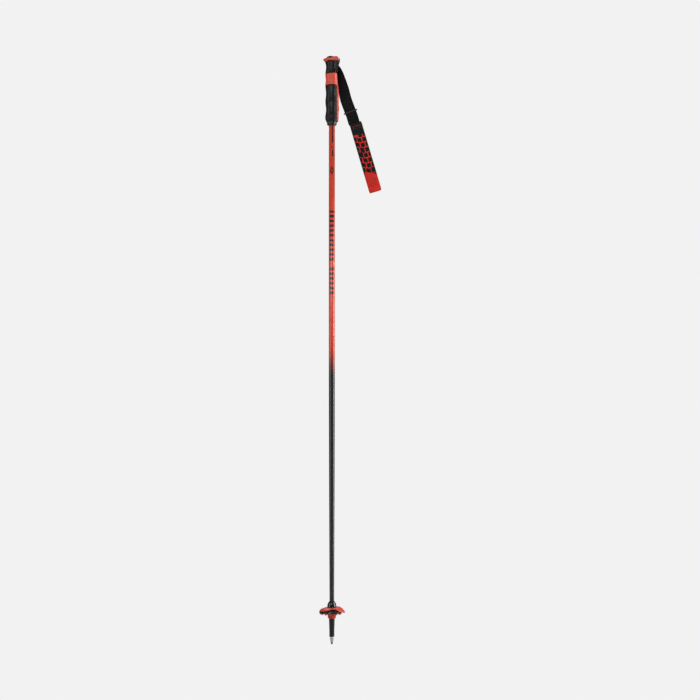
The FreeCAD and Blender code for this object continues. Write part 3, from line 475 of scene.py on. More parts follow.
def repeated(name, seed_mesh, spots, material):
    """Geometry Nodes put one copy of a small shape on each spot, which is a place, the shape's up
    direction and its forward direction."""
    mesh = bpy.data.meshes.new(f"{name}_spots")
    mesh.from_pydata([tuple(Vector(p) * MM) for p, _, _ in spots], [], [])
    turns = mesh.attributes.new("turn", "FLOAT_VECTOR", "POINT")
    for i, (_, up, ahead) in enumerate(spots):
        up, ahead = Vector(up).normalized(), Vector(ahead)
        ahead = (ahead - up * ahead.dot(up)).normalized()
        frame_matrix = Matrix((ahead, up.cross(ahead), up)).transposed()
        turns.data[i].vector = frame_matrix.to_euler()
    shape = bpy.data.objects.new(f"{name}_shape", seed_mesh)
    item = bpy.data.objects.new(name, mesh)
    scene.collection.objects.link(item)
    tree = bpy.data.node_groups.new(f"{name}_tree", "GeometryNodeTree")
    tree.interface.new_socket("Spots", in_out="INPUT", socket_type="NodeSocketGeometry")
    size = tree.interface.new_socket("Size", in_out="INPUT", socket_type="NodeSocketFloat")
    tree.interface.new_socket("Shape", in_out="OUTPUT", socket_type="NodeSocketGeometry")

    def add(kind, **links):
        made = tree.nodes.new(kind)
        for key, value in links.items():
            socket = made.inputs[key.replace("_", " ")]
            if isinstance(value, bpy.types.NodeSocket):
                tree.links.new(value, socket)
            else:
                socket.default_value = value
        return made
    source = tree.nodes.new("NodeGroupInput")
    shape_info = add("GeometryNodeObjectInfo", Object=shape)
    turn = tree.nodes.new("GeometryNodeInputNamedAttribute")
    turn.data_type = "FLOAT_VECTOR"
    turn.inputs["Name"].default_value = "turn"
    copies = add("GeometryNodeInstanceOnPoints", Points=source.outputs["Spots"],
                 Instance=shape_info.outputs["Geometry"], Scale=source.outputs["Size"])
    rotation = add("FunctionNodeEulerToRotation", Euler=turn.outputs["Attribute"])
    tree.links.new(rotation.outputs[0], copies.inputs["Rotation"])
    solid = add("GeometryNodeRealizeInstances", Geometry=copies.outputs["Instances"])
    finish = add("GeometryNodeSetMaterial", Geometry=solid.outputs["Geometry"],
                 Material=finishes[material])
    end = tree.nodes.new("NodeGroupOutput")
    tree.links.new(finish.outputs["Geometry"], end.inputs["Shape"])
    modifier = item.modifiers.new("copies", "NODES")
    modifier.node_group = tree
    modifier[size.identifier] = 1.0
    settle(item)
    bpy.data.objects.remove(shape)
    for polygon in item.data.polygons:
        polygon.use_smooth = True
    return item


def pill(length, radius, sides=8, rows=5):
    """A small capsule along X, for stitches and ribs. Lengths are in millimetres."""
    loops = []
    for j in range(rows):
        t = -1 + 2 * j / (rows - 1)
        r = radius * max(1 - t ** 4, 0.12)
        loops.append([(t * length / 2, r * cos(2 * pi * i / sides),
                       r * sin(2 * pi * i / sides)) for i in range(sides)])
    verts, faces = rings(loops)
    mesh = bpy.data.meshes.new("pill")
    mesh.from_pydata([tuple(c * MM for c in v) for v in verts], [], faces)
    return mesh


# ---- the grip

# Depth below the top, reach to the fingers, reach to the palm, half width.
GRIP = ((12.6, 16.0, 14.4, 14.0), (24.0, 13.6, 12.8, 12.7), (41.3, 15.1, 13.2, 12.6),
        (55.0, 13.8, 13.7, 12.3), (68.8, 14.9, 14.2, 12.6), (87.0, 13.6, 14.8, 12.3),
        (105.6, 15.0, 15.1, 12.7), (124.0, 13.4, 15.0, 12.2), (142.3, 15.4, 14.5, 12.6),
        (152.0, 12.9, 13.4, 11.4))


def grip_oval(z):
    """The grip's oval at a height: its centre, its half length and its half width."""
    depth = HEAD - z
    front, palm, side = (curve_through([(row[0], row[k]) for row in GRIP], depth) for k in (1, 2, 3))
    return (palm - front) / 2, (palm + front) / 2, side


def on_grip(angle, z, offset):
    """A point on the grip at an angle from the palm side, in degrees, raised by offset."""
    centre, long, wide = grip_oval(z)
    c, s = cos(radians(angle)), sin(radians(angle))
    out = Vector((c / long, s / wide)).normalized()
    return (centre + long * c + out.x * offset, wide * s + out.y * offset, z)


def angle_at(x, z):
    """The angle at which the grip's surface passes a distance from the shaft's axis."""
    centre, long, _ = grip_oval(z)
    return degrees(acos(min(max((x - centre) / long, -1), 1)))


def spread_out(length, edge, count):
    """Shares from 0 to 1 along a length, close together near both ends."""
    near = [edge * f / length for f in (0, 0.08, 0.25, 0.5, 0.8)]
    middle = [edge / length + (1 - 2 * edge / length) * i / count for i in range(count + 1)]
    return near + middle + [1 - n for n in reversed(near)]


def panel(name, material, low, high, around=None, rise=0.0, edge=0.8, sink=1.2, corner=0.0,
          count=(40, 24), pillow=0.0):
    """A moulded panel that follows the grip. low and high give its ends' heights at an angle, and
    around gives its first and last angle at a height; without it the panel runs all round."""
    degree_arc = 13.5 / 57.3                # the arc of one degree on an ordinary grip radius
    tall = high(90.0) - low(90.0)
    ups = spread_out(tall, edge, count[1])
    whole = around is None
    middle = around((low(90.0) + high(90.0)) / 2) if around else (0.0, 360.0)
    arc = abs(middle[1] - middle[0]) * degree_arc
    if whole:
        shares = [i / (2 * count[0]) for i in range(2 * count[0])]
    else:
        shares = spread_out(arc, edge, count[0])

    def drop(distance):
        part = min(distance / edge, 1.0)
        return edge * (1 - sqrt(max(1 - (1 - part) ** 2, 0.0)))
    outer, inner = [], []
    for t in ups:
        row_out, row_in = [], []
        from_end = min(t, 1 - t) * tall
        cut = 0.0
        if corner and from_end < corner:
            cut = corner - sqrt(corner ** 2 - (corner - from_end) ** 2)
        for s in shares:
            z_guess = low(90.0) + t * tall
            first, last = around(z_guess) if around else (0.0, 360.0)
            turn = copysign(cut / degree_arc, last - first)
            angle = (first + turn) + s * (last - first - 2 * turn)
            z = low(angle) + t * (high(angle) - low(angle))
            from_side = 99.0 if whole else min(s, 1 - s) * arc
            crown = (1 - (2 * t - 1) ** 2) * sqrt(max(1 - (2 * s - 1) ** 2, 0.0))
            offset = rise - drop(min(from_end, from_side)) + pillow * crown
            row_out.append(on_grip(angle, z, offset))
            row_in.append(on_grip(angle, z, -sink))
        outer.append(row_out)
        inner.append(row_in)
    wide, levels = len(shares), len(ups)
    verts = [p for grid in (outer, inner) for row in grid for p in row]
    base = wide * levels
    pairs = [(i, (i + 1) % wide) for i in range(wide if whole else wide - 1)]
    faces = []
    for j in range(levels - 1):
        for i, k in pairs:
            a, b, c, d = j * wide + i, j * wide + k, (j + 1) * wide + k, (j + 1) * wide + i
            faces += [(a, b, c, d), (base + d, base + c, base + b, base + a)]
    borders = [(j * wide + i, j * wide + k) for j in (0, levels - 1) for i, k in pairs]
    if not whole:
        borders += [(j * wide + i, (j + 1) * wide + i)
                    for i in (0, wide - 1) for j in range(levels - 1)]
    faces += [(a, b, base + b, base + a) for a, b in borders]
    return piece(name, verts, faces, material)


# ---- the strap

WEB_WIDTH, WEB_THICK, WEB_GAP = 20.0, 1.4, 0.3
LEAN = radians(16.4)
SPREAD = radians(3.2)
FOLD = Vector((46.5, 0.0, HEAD - 138.0))
LOOP_LENGTH = 181.7
DOWN = Vector((sin(LEAN), 0.0, -cos(LEAN)))
FLAT = Vector((cos(LEAN), 0.0, sin(LEAN)))
# Depth, distance from the shaft's axis, twist from edge-on in degrees, slide of each leg.
RUN = ((9.5, 9.9, 0.0, 0.0), (20.0, 9.9, 0.0, 0.0), (24.6, 11.4, 4.0, 0.0), (27.6, 15.3, 13.0, 0.0),
       (41.3, 18.9, 37.0, 0.8), (60.0, 23.0, 57.0, 1.8), (78.0, 27.3, 73.0, 2.6),
       (101.0, 32.7, 90.0, 3.3), (138.0, 46.5, 90.0, 3.3))


def run_frames(side, first, last, steps):
    """A leg's frames from one stop of its run to another: place, across, outwards."""
    stops = [[(i, row[k]) for i, row in enumerate(RUN)] for k in range(4)]
    made = []
    for j in range(steps + 1):
        t = first + (last - first) * j / steps

        def at(when):
            depth, reach, _, _ = (curve_through(stop, when) for stop in stops)
            return Vector((reach, 0.0, HEAD - depth))
        ahead = (at(min(t + 0.02, len(RUN) - 1)) - at(max(t - 0.02, 0))).normalized()
        twist = radians(curve_through(stops[2], t))
        slide = curve_through(stops[3], t)
        across = FLAT * sin(twist) + Vector((0, -1, 0)) * cos(twist)
        across = (across - ahead * across.dot(ahead)).normalized()
        through = ahead.cross(across)
        place = at(t) - across * (side * slide) + through * (side * (WEB_GAP + WEB_THICK) / 2)
        made.append((place, across, through * side))
    return made


def loop_frames(distance, start, shift, steps, slide_in=0.0):
    """The hand loop's frames at a distance from the webbing's inner face, from the front leg's
    start round the lower end to the back leg's."""
    sheath = WEB_THICK + 1.2
    reach = LOOP_LENGTH - sheath
    inner = WEB_GAP / 2
    bend = (inner * cos(SPREAD) + reach * sin(SPREAD)) / (1 + sin(SPREAD))
    centre = reach - bend
    radius = bend + distance
    end = centre - radius * sin(SPREAD)
    flat = []
    for j in range(steps + 1):
        d = start + (end - start) * j / steps
        flat.append((inner + distance / cos(SPREAD) + d * tan(SPREAD), d,
                     cos(SPREAD), -sin(SPREAD)))
    for j in range(1, 13):
        a = SPREAD - (SPREAD + pi / 2) * j / 12
        flat.append((radius * cos(a), centre - radius * sin(a), cos(a), -sin(a)))
    made = []
    for side, half in ((-1, flat), (1, list(reversed(flat[:-1])))):
        for out, d, out_n, down_n in half:
            slide = shift
            if slide_in:
                part = smooth(15.0, 29.0, d)
                slide = shift * part + side * slide_in * (1 - part)
            made.append((FOLD + DOWN * d + Vector((0, side * out, 0)) + FLAT * slide, FLAT,
                         Vector((0, side * out_n, 0)) + DOWN * down_n))
    return made


def tape(name, frames, section, material, width=None):
    """Sweeps a section of (across, outwards) points along frames. Its cloth map gives the distance
    across and along, in metres."""
    rows, marks = [], []
    along = 0.0
    for j, (place, across, out) in enumerate(frames):
        if j:
            along += (place - frames[j - 1][0]).length
        scale = width(j / (len(frames) - 1)) if width else 1.0
        rows.append([tuple(place + across * (a * scale) + out * t) for a, t in section])
        marks += [(a * MM, along * MM) for a, t in section]
    verts, faces = rings(rows)
    return piece(name, verts, faces, material, uvs=marks), along


def tape_section(width, thick, edge=0.5, crown=0.0, count=14):
    """A flat tape's section with round edges, thicker in its middle by crown on the outside."""
    half = width / 2
    across = [-half, -half + edge * 0.15, -half + edge * 0.6]
    across += [-half + edge * 1.4 + (width - 2.8 * edge) * i / count for i in range(count + 1)]
    across += [-a for a in (-half + edge * 0.6, -half + edge * 0.15, -half)]

    def rise(a):
        inset = min((half - abs(a)) / edge, 1.0)
        return thick / 2 * sqrt(max(1 - (1 - inset) ** 2, 0.0))
    outer = [(a, rise(a) + crown * (1 - (a / half) ** 4) * (1 if abs(a) < half else 0))
             for a in across]
    lower = [(a, -rise(a)) for a in reversed(across[1:-1])]
    return outer + lower


# ---- pieces

def stand_for(item, body, finish, *nodes):
    """The piece rides on a body and stands for CAD nodes. Its finish argument is not used."""
    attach(item, body)
    if nodes:
        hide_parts(*nodes)
    return item


def dress_frame():
    """Every CAD node gets its slot's material."""
    slots = {part["node"]: part["material_slot"] for part in frame["record"]["subparts"]}
    for name, item in frame["nodes"].items():
        item.data.materials.clear()
        item.data.materials.append(finishes[slots[name]])
    frame["nodes"]["lock_pin"].data.materials[0] = finishes["dark_steel"]


def make_grip():
    """The sleeves, the band, the palm strip and the side pads."""
    band_top = box("grip_band")[1].z
    band_foot = box("grip_band")[0].z
    foot = box("grip_lower_sleeve")[0].z
    crown = box("grip_upper_sleeve")[1].z
    gap = 0.25                              # between neighbouring panels
    pads_low, pads_seam, pads_high = 1214.0, 1244.6, 1246.6
    rubber, orange, pads = "soft_black_rubber", "orange_plastic", "pad_rubber"
    plane = box("grip_back_strip")[0].x + 0.9
    mouth = box("grip_core")[1].z - 22.4

    def band_low(angle):
        return band_foot - 5.0 * (1 - abs(sin(radians(angle)))) ** 1.3

    def band_high(angle):
        return band_top + 1.6 * cos(radians(angle))

    def beside_mouth(z):
        """The upper sleeve's first angle: it leaves the strap's mouth free."""
        return 0.2 + 44.0 * smooth(mouth - 1.2, mouth + 0.8, z)

    upper = panel("upper_sleeve", rubber, lambda a: band_high(a) + gap, lambda a: crown,
                  around=lambda z: (beside_mouth(z), 360 - beside_mouth(z)),
                  rise=-0.3, edge=0.7, count=(50, 60))
    stand_for(upper, "pole", rubber, "grip_upper_sleeve")
    band = panel("band", orange, band_low, band_high, rise=0.1, edge=0.6, count=(60, 24))
    stand_for(band, "pole", orange, "grip_band")
    lower = panel("lower_sleeve", rubber, lambda a: foot, lambda a: band_low(a) - gap,
                  around=lambda z: (angle_at(plane + 0.2, z), 360 - angle_at(plane + 0.2, z)),
                  rise=-0.15, edge=0.9, count=(60, 60))
    stand_for(lower, "pole", rubber, "grip_lower_sleeve")
    strip = panel("palm_strip", orange, lambda a: foot + 0.3, lambda a: band_low(a) + 0.2,
                  around=lambda z: (-angle_at(plane + 0.5, z), angle_at(plane + 0.5, z)),
                  rise=1.1, edge=0.9, sink=2.5, count=(24, 60))
    stand_for(strip, "pole", orange, "grip_back_strip")

    for side, name in ((-1, "near"), (1, "far")):
        for label, low, high in (("upper", pads_high, None), ("lower", pads_low, pads_seam)):
            item = panel(f"side_pad_{label}_{name}", pads, lambda a, low=low: low,
                         lambda a, high=high: high if high else band_low(a) - 3.4,
                         around=lambda z, side=side: (side * angle_at(7.6, z),
                                                      side * angle_at(-11.2, z)),
                         rise=0.10, edge=0.7, sink=0.8, corner=2.4, pillow=1.7)
            stand_for(item, "pole", pads, *([f"side_pads_{label}"] if side < 0 else []))
        item = panel(f"thumb_pad_{name}", pads, lambda a: band_high(a) + 2.6, lambda a: crown - 2.0,
                     around=lambda z, side=side: (side * angle_at(8.8, z), side * angle_at(-10.2, z)),
                     rise=0.05, edge=0.6, sink=0.8, corner=2.2, pillow=0.9)
        stand_for(item, "pole", pads)

    # A small raised black patch on the palm strip.
    low, high = box("back_strip_inlay")
    inlay = panel("palm_inlay", "hard_black_plastic", lambda a: low.z, lambda a: high.z,
                  around=lambda z: (-15.0, 15.0), rise=1.7, edge=0.4, sink=1.0, corner=1.6,
                  count=(10, 14))
    stand_for(inlay, "pole", "hard_black_plastic", "back_strip_inlay")


def make_collar():
    """The toothed collar under the grip."""
    low, high = box("grip_collar")
    radius, bore = high.x, 7.05
    outline = [(bore, low.z), (radius - 1.6, low.z), (radius - 0.9, low.z + 0.6),
               (radius - 0.7, low.z + 4.4), (radius, low.z + 5.0), (radius, high.z), (bore, high.z)]
    body = lathed("collar", outline, "hard_black_plastic", bevel=0.2)
    teeth = []
    for i in range(28):
        out = around_axis(2 * pi * i / 28)
        teeth.append((out * (radius - 0.9) + Vector((0, 0, low.z + 2.6)), out, (0, 0, 1)))
    ribs = repeated("collar_teeth", pill(4.0, 0.55), teeth, "hard_black_plastic")
    stand_for(body, "pole", "hard_black_plastic", "grip_collar")
    stand_for(ribs, "pole", "hard_black_plastic")


def make_head():
    """The rim with its beak, the insert, and the strap's wedge."""
    foot = box("head_rim")[0].z
    rows = []
    count = 96
    for i in range(count + 1):
        a = radians(29 + (331 - 29) * i / count)
        c, s = cos(a), sin(a)
        square = 1 / (1.35 + 1.65 * smooth(-0.2, 0.5, c))
        x = -0.6 + (16.5 if c > 0 else 15.3) * copysign(abs(c) ** square, c)
        y = 14.4 * copysign(abs(s) ** square, s)
        beak = exp(-abs((degrees(a) - 180) / 15) ** 1.5)
        x -= 4.2 * beak
        arm = smooth(-3.0, 8.0, x)
        inner_x = -2.5 + 9.3 * c
        inner_y = 8.9 * s
        on_arm = smooth(3.0, 9.0, x)
        inner_x = inner_x * (1 - on_arm) + x * on_arm
        inner_y = inner_y * (1 - on_arm) + copysign(10.6, s) * on_arm
        low = foot + 1.0 - 2.7 * smooth(-8.5, -14.5, x)
        high = foot + 7.4 - 1.2 * beak + 2.9 * arm - 1.6 * smooth(11.0, 15.4, x)
        outer, inner = Vector((x, y)), Vector((inner_x, inner_y))
        room = (outer - inner).length
        step = (outer - inner) / room * min(room / 3.9, 1.0)
        tuck = 4.4 * beak
        rows.append([(*place, z) for place, z in (
            (inner, low), (outer - step * (1.3 + tuck), low),
            (outer - step * (0.35 + tuck), low + 0.4), (outer - step * (tuck * 0.62), low + 1.7),
            (outer + step * 0.1, (low + high) / 2 + 1.5 * beak), (outer - step * 0.15, high - 2.2),
            (outer - step * 0.9, high - 0.8), (outer - step * 2.0, high - 0.1),
            (outer - step * 3.0, high), (inner + step * 0.4, high - 0.4), (inner, high - 1.2))])
    verts, faces = rings(rows)
    rim = piece("rim", verts, faces, "orange_plastic", bevel=0.25)
    stand_for(rim, "pole", "orange_plastic", "head_rim")

    low, high = box("head_insert")
    centre = (low.x + high.x) / 2
    profile = [(0.0, 1.0), (0.25, 0.985), (0.5, 0.93), (0.60, 0.90), (0.635, 0.83), (0.67, 0.87),
               (0.78, 0.80), (0.9, 0.62), (0.97, 0.42), (1.0, 0.2), (1.0, 0.0)]
    rows = []
    for share, height in reversed(profile):
        r = max(share, 0.002)
        rows.append([(centre + (high.x - low.x) / 2 * r * cos(2 * pi * i / 96),
                      high.y * r * sin(2 * pi * i / 96),
                      low.z + (high.z - low.z) * height) for i in range(96)])
    verts, faces = rings(rows)
    insert = piece("insert", verts, faces, "soft_black_rubber")
    stand_for(insert, "pole", "soft_black_rubber", "head_insert")

    top, bottom = foot + 1.6, box("grip_core")[1].z - 30.6
    for side, label in ((-1, "near"), (1, "far")):
        outline = [(7.5, bottom + 4.0), (9.0, bottom + 1.2), (11.5, bottom - 0.3),
                   (13.3, bottom + 0.1), (14.3, bottom + 1.2), (14.7, bottom + 3.5),
                   (14.7, top), (7.5, top)]
        cheek = prism("cheek_" + label, outline, 0.75, "soft_black_rubber", bevel=0.6,
                      middle=12.0 * side)
        stand_for(cheek, "pole", "soft_black_rubber")

    low, high = box("strap_wedge")
    outline = [(low.x, low.z + 1.4), (low.x + 1.4, low.z + 0.4), (low.x + 3.4, low.z),
               (low.x + 4.6, low.z + 3.0), (low.x + 5.9, low.z + 8.0), (high.x - 0.1, low.z + 10.6),
               (high.x, low.z + 12.6), (high.x - 0.25, high.z - 1.6), (high.x - 0.9, high.z - 0.5),
               (high.x - 2.0, high.z), (low.x, high.z)]
    wedge = prism("wedge", outline, high.y, "gloss_black_plastic", bevel=0.7)
    stand_for(wedge, "strap_lock", "gloss_black_plastic", "strap_wedge")
    spots = [((high.x - 0.05 - 0.12 * i, 0, low.z + 11.0 + 1.15 * i), (1, 0, 0), (0, 1, 0))
             for i in range(3)]
    ribs = repeated("wedge_ribs", pill(15.0, 0.32), spots, "gloss_black_plastic")
    stand_for(ribs, "strap_lock", "gloss_black_plastic")


def stitch_row(name, path, length, pitch, material, radius=0.24):
    """Stitches along a path of (place, outwards) points."""
    spots, walked, due = [], 0.0, pitch / 2
    for (a, out_a), (b, out_b) in zip(path, path[1:]):
        step = (b - a).length
        while due <= walked + step:
            t = (due - walked) / step
            spots.append((a.lerp(b, t), out_a.lerp(out_b, t), b - a))
            due += pitch
        walked += step
    return repeated(name, pill(length, radius, 6, 4), spots, material)


def make_strap():
    """Both webbing legs, the loop, its printed cover, its lining, the keeper and the stitching."""
    web = "black_webbing"
    section = tape_section(WEB_WIDTH, WEB_THICK)
    split = 5.0
    for side, label in ((1, "front"), (-1, "back")):
        root, _ = tape(f"webbing_root_{label}", run_frames(side, 0.0, split, 60), section, web)
        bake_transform(root)
        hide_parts(*(("strap_anchor", "strap_leg_front") if side > 0 else ("strap_leg_back",)))
    last = len(RUN) - 1.0
    down_leg = run_frames(1, split, last, 30)
    up_leg = list(reversed(run_frames(-1, split, last, 30)))
    middle = loop_frames(WEB_THICK / 2, 3.0, 1.0, 60, slide_in=3.3)
    whole = down_leg + middle + up_leg
    loop, _ = tape("webbing_loop", whole, section, web)
    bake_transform(loop)
    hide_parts("strap_loop")

    cover_from = 17.0
    frames = loop_frames(WEB_THICK + 0.62, cover_from, 2.8, 60)

    def draw_in(t):
        return 1.0 - 0.05 * exp(-((t - 0.5) / 0.018) ** 2) - 0.06 * smooth(0.012, 0.0, t) \
            - 0.06 * smooth(0.988, 1.0, t)
    cover, length = tape("pad_cover", frames, tape_section(28.2, 1.2, 0.5, 0.55),
                         "printed_cloth", draw_in)
    stand_for(cover, "hand_loop", "printed_cloth", "strap_pad_cover")

    inside = loop_frames(-0.8, 34.0, 2.8, 40)
    pad, _ = tape("pad_lining", inside, tape_section(25.0, 1.6, 0.8, -0.25), "black_lining")
    stand_for(pad, "hand_loop", "black_lining", "strap_pad_lining")

    thread = "thread_dark"
    seams = []
    skin = 0.82                             # how far stitches lie out of the cover's middle layer

    def along_row(across, first, last_share):
        return [(place + FLAT * across + out * skin, out)
                for place, _, out in frames[int(first * len(frames)):int(last_share * len(frames))]]
    for label, across in (("left", -12.3), ("right", 12.3)):
        seams.append(stitch_row(f"edge_stitches_{label}", along_row(across, 0.02, 0.98), 2.0, 2.9,
                                thread))

    def across_row(index, half, bow, lift=1.05):
        place, _, out = frames[index]
        tangent = (frames[index + 1][0] - frames[index - 1][0]).normalized()
        if index > len(frames) / 2:
            tangent = -tangent
        return [(place + FLAT * (half * k / 10) + tangent * (bow * (k / 10) ** 2) + out * lift, out)
                for k in range(-10, 11)]
    for label, index in (("front", 5), ("back", len(frames) - 6)):
        seams.append(stitch_row(f"hem_stitches_{label}", across_row(index, 11.5, 2.4), 1.7, 2.1,
                                "thread_red", 0.34))
    for label, index in (("front", 1), ("back", len(frames) - 2)):
        seams.append(stitch_row(f"end_stitches_{label}", across_row(index, 11.0, 0.0, 1.0), 1.7, 2.4,
                                thread))
    seams += box_stitches(frames, thread)
    for item in seams:
        stand_for(item, "hand_loop", "printed_cloth")

    (from_depth, from_reach, _, _), (to_depth, to_reach, _, _) = RUN[-2:]
    turn = atan2(to_reach - from_reach, to_depth - from_depth)
    across = Vector((cos(turn), 0, sin(turn)))
    up = Vector((-sin(turn), 0, cos(turn)))
    middle_point = FOLD + up * 10.4
    squareness = 0.30
    rows = []
    for i in range(72):
        a = 2 * pi * i / 72
        c, s = cos(a), sin(a)
        ring = []
        for inset, rise in ((0, -0.9), (0.0, 0.9), (0.35, 1.3), (0.95, 1.3), (1.3, 0.9),
                            (1.3, -0.9), (0.95, -1.3), (0.35, -1.3)):
            px = (15.0 + inset) * copysign(abs(c) ** squareness, c)
            py = (2.15 + inset) * copysign(abs(s) ** squareness, s)
            ring.append(tuple(middle_point + across * px + Vector((0, 1, 0)) * py + up * rise))
        rows.append(ring)
    verts, faces = rings(rows, closed=True)
    keeper = piece("keeper", verts, faces, "keeper_plastic")
    stand_for(keeper, "keeper", "hard_black_plastic", "strap_keeper")


def box_stitches(frames, thread):
    """A plain stitched box with a cross on both faces of the pad's lower end."""
    made = []
    half_way = (len(frames) + 1) // 2
    for label, line in (("front", frames[:half_way]), ("back", frames[::-1][:half_way])):

        def spot(across, down):
            walked = 0.0
            for (a, _, out), (b, _, _) in zip(line, line[1:]):
                step = (b - a).length
                if walked + step >= down:
                    return a + (b - a) * ((down - walked) / step) + FLAT * across + out * 1.18, out
                walked += step
            return line[-1][0] + FLAT * across, line[-1][2]
        half, high, low = 6.0, 136.0, 152.0
        paths = [[(-half, high), (half, high), (half, low), (-half, low), (-half, high)],
                 [(-half, high), (half, low)], [(half, high), (-half, low)]]
        for number, corners in enumerate(paths):
            dense = []
            for (x0, d0), (x1, d1) in zip(corners, corners[1:]):
                dense += [spot(x0 + (x1 - x0) * k / 8, d0 + (d1 - d0) * k / 8) for k in range(8)]
            dense.append(spot(*corners[-1]))
            made.append(stitch_row(f"box_stitches_{label}_{number}", dense, 1.7, 2.3, thread))
    return made


def make_basket():
    """The orange shell, the black ring and the hub with its toothed flange."""
    orange, black = "orange_plastic", "ring_plastic"
    low, high = box("basket_shell")
    top, rim = high.z, low.z
    edge_stops = ((0, 72.1), (44, 76.2), (58, 79.8), (70, 82.1), (82, 82.7), (92, 82.2),
                  (104, 80.9), (120, 78.9), (150, 76.9), (180, 75.3))
    drops = ((13.5, 0.0), (16.6, 0.35), (19.8, 1.2), (22.7, 2.6), (25.2, 4.4), (27.4, 6.6),
             (29.3, 9.4))

    def edge_height(angle):
        folded = abs((angle + 180) % 360 - 180)
        return curve_through(edge_stops, folded) + rim - 75.2

    def height(r, angle):
        """The shell's outer surface: higher towards the palm side."""
        lift = cos(radians(angle)) * 1.3 * exp(-((r - 19) / 6) ** 2)
        return top - curve_through(drops, r) - max(r - 29.3, 0) / 0.35 + lift * smooth(11, 15, r)

    def reach_at(z, angle):
        """The radius at which the shell's surface comes down to a height."""
        near, far = 13.5, 33.0
        for _ in range(30):
            half = (near + far) / 2
            near, far = (half, far) if height(half, angle) > z else (near, half)
        return near
    rows = []
    count = 180
    for i in range(count):
        angle = 360 * i / count
        a = radians(angle)
        end = reach_at(edge_height(angle), angle)
        outer = [(9.75, top - 0.1)]
        for k in range(19):
            r = 11.2 + (end - 11.2) * (k / 18) ** 0.8
            ridge = 0.28 * exp(-((end - 1.7 - r) / 0.55) ** 2)
            outer.append((r, height(r, angle) + ridge))
        last_z = outer[-1][1]
        inner = [(max(r - 0.9, 9.75), z - 0.75) for r, z in reversed(outer[1:-1])]
        lip = [(end + 0.05, last_z - 0.3), (end - 0.3, last_z - 0.55), (end - 0.8, last_z - 0.35)]
        rows.append([(r * cos(a), r * sin(a), z)
                     for r, z in outer + lip + inner + [(9.75, top - 1.0)]])
    verts, faces = rings(rows, closed=True)
    shell = piece("basket_dome", verts, faces, orange)
    stand_for(shell, "basket", "orange_plastic", "basket_shell")

    ring_low, ring_high = box("basket_ring")
    shift = (ring_low.x + ring_high.x) / 2
    reach = (ring_high.x - ring_low.x) / 2
    foot = ring_low.z - 0.3
    outline = lifted(foot, (9.7, 0.2), *((reach - inset, rise) for inset, rise in (
        (2.6, 0), (1.2, 0.3), (0.3, 1.1), (0, 2.2), (0.15, 3.2), (0.45, 3.35), (0.5, 3.9),
        (1.1, 5.3), (1.45, 5.45), (1.6, 6.0), (2.6, 7.4), (3.0, 7.5), (3.3, 8.1), (5.2, 9.6),
        (8.0, 10.8), (11.0, 11.2))), (9.7, 11.3))
    ring = lathed("basket_black_ring", outline, black,
                  centre=lambda z: shift * (1 - smooth(foot + 3.0, foot + 7.5, z)))
    stand_for(ring, "basket", "hard_black_plastic", "basket_ring")

    hub_low, hub_high = box("basket_hub")
    foot = hub_low.z + 1.2

    def facets(a, r, z):
        return -0.22 * (0.5 + 0.5 * cos(12 * a)) if 9.0 < r < 10.0 and z < 69 else 0.0
    bore = 6.9
    outline = lifted(foot, (bore, 0.5), (bore + 0.5, 0), (7.7, 0), (8.5, 0.5), (9.2, 1.5),
                     (9.6, 2.8), (9.6, 6.4), (9.75, 7.6), (10.3, 9.3), (11.5, 11.0), (13.2, 12.3),
                     (15.5, 12.9), (19.0, 13.1), (19.0, 14.4), (9.6, 14.5))
    outline += [(9.6, hub_high.z - 0.2), (9.3, hub_high.z), (bore, hub_high.z)]
    hub = lathed("basket_neck", outline, orange, wobble=facets)
    stand_for(hub, "basket", "orange_plastic", "basket_hub")
    flange = lathed("basket_flange", [(11.8, 70.7), (reach - 1.3, 70.7), (reach - 0.8, 71.0),
                                      (reach - 0.6, 71.5), (reach - 0.9, 72.0), (11.8, 72.1)],
                    orange, centre=lambda z: shift,
                    wobble=lambda a, r, z: -shift * cos(a) if r < 12 else 0.0)
    stand_for(flange, "basket", "orange_plastic")
    spots = []
    for i in range(12):
        out = around_axis(radians(3 + 30 * i))
        spots.append((out * (reach - 2.7) + Vector((shift, 0, 70.3)), out, (0, 0, 1)))
    teeth = repeated("basket_teeth", pill(4.6, 1.75, 12, 9), spots, orange)
    stand_for(teeth, "basket", "orange_plastic")


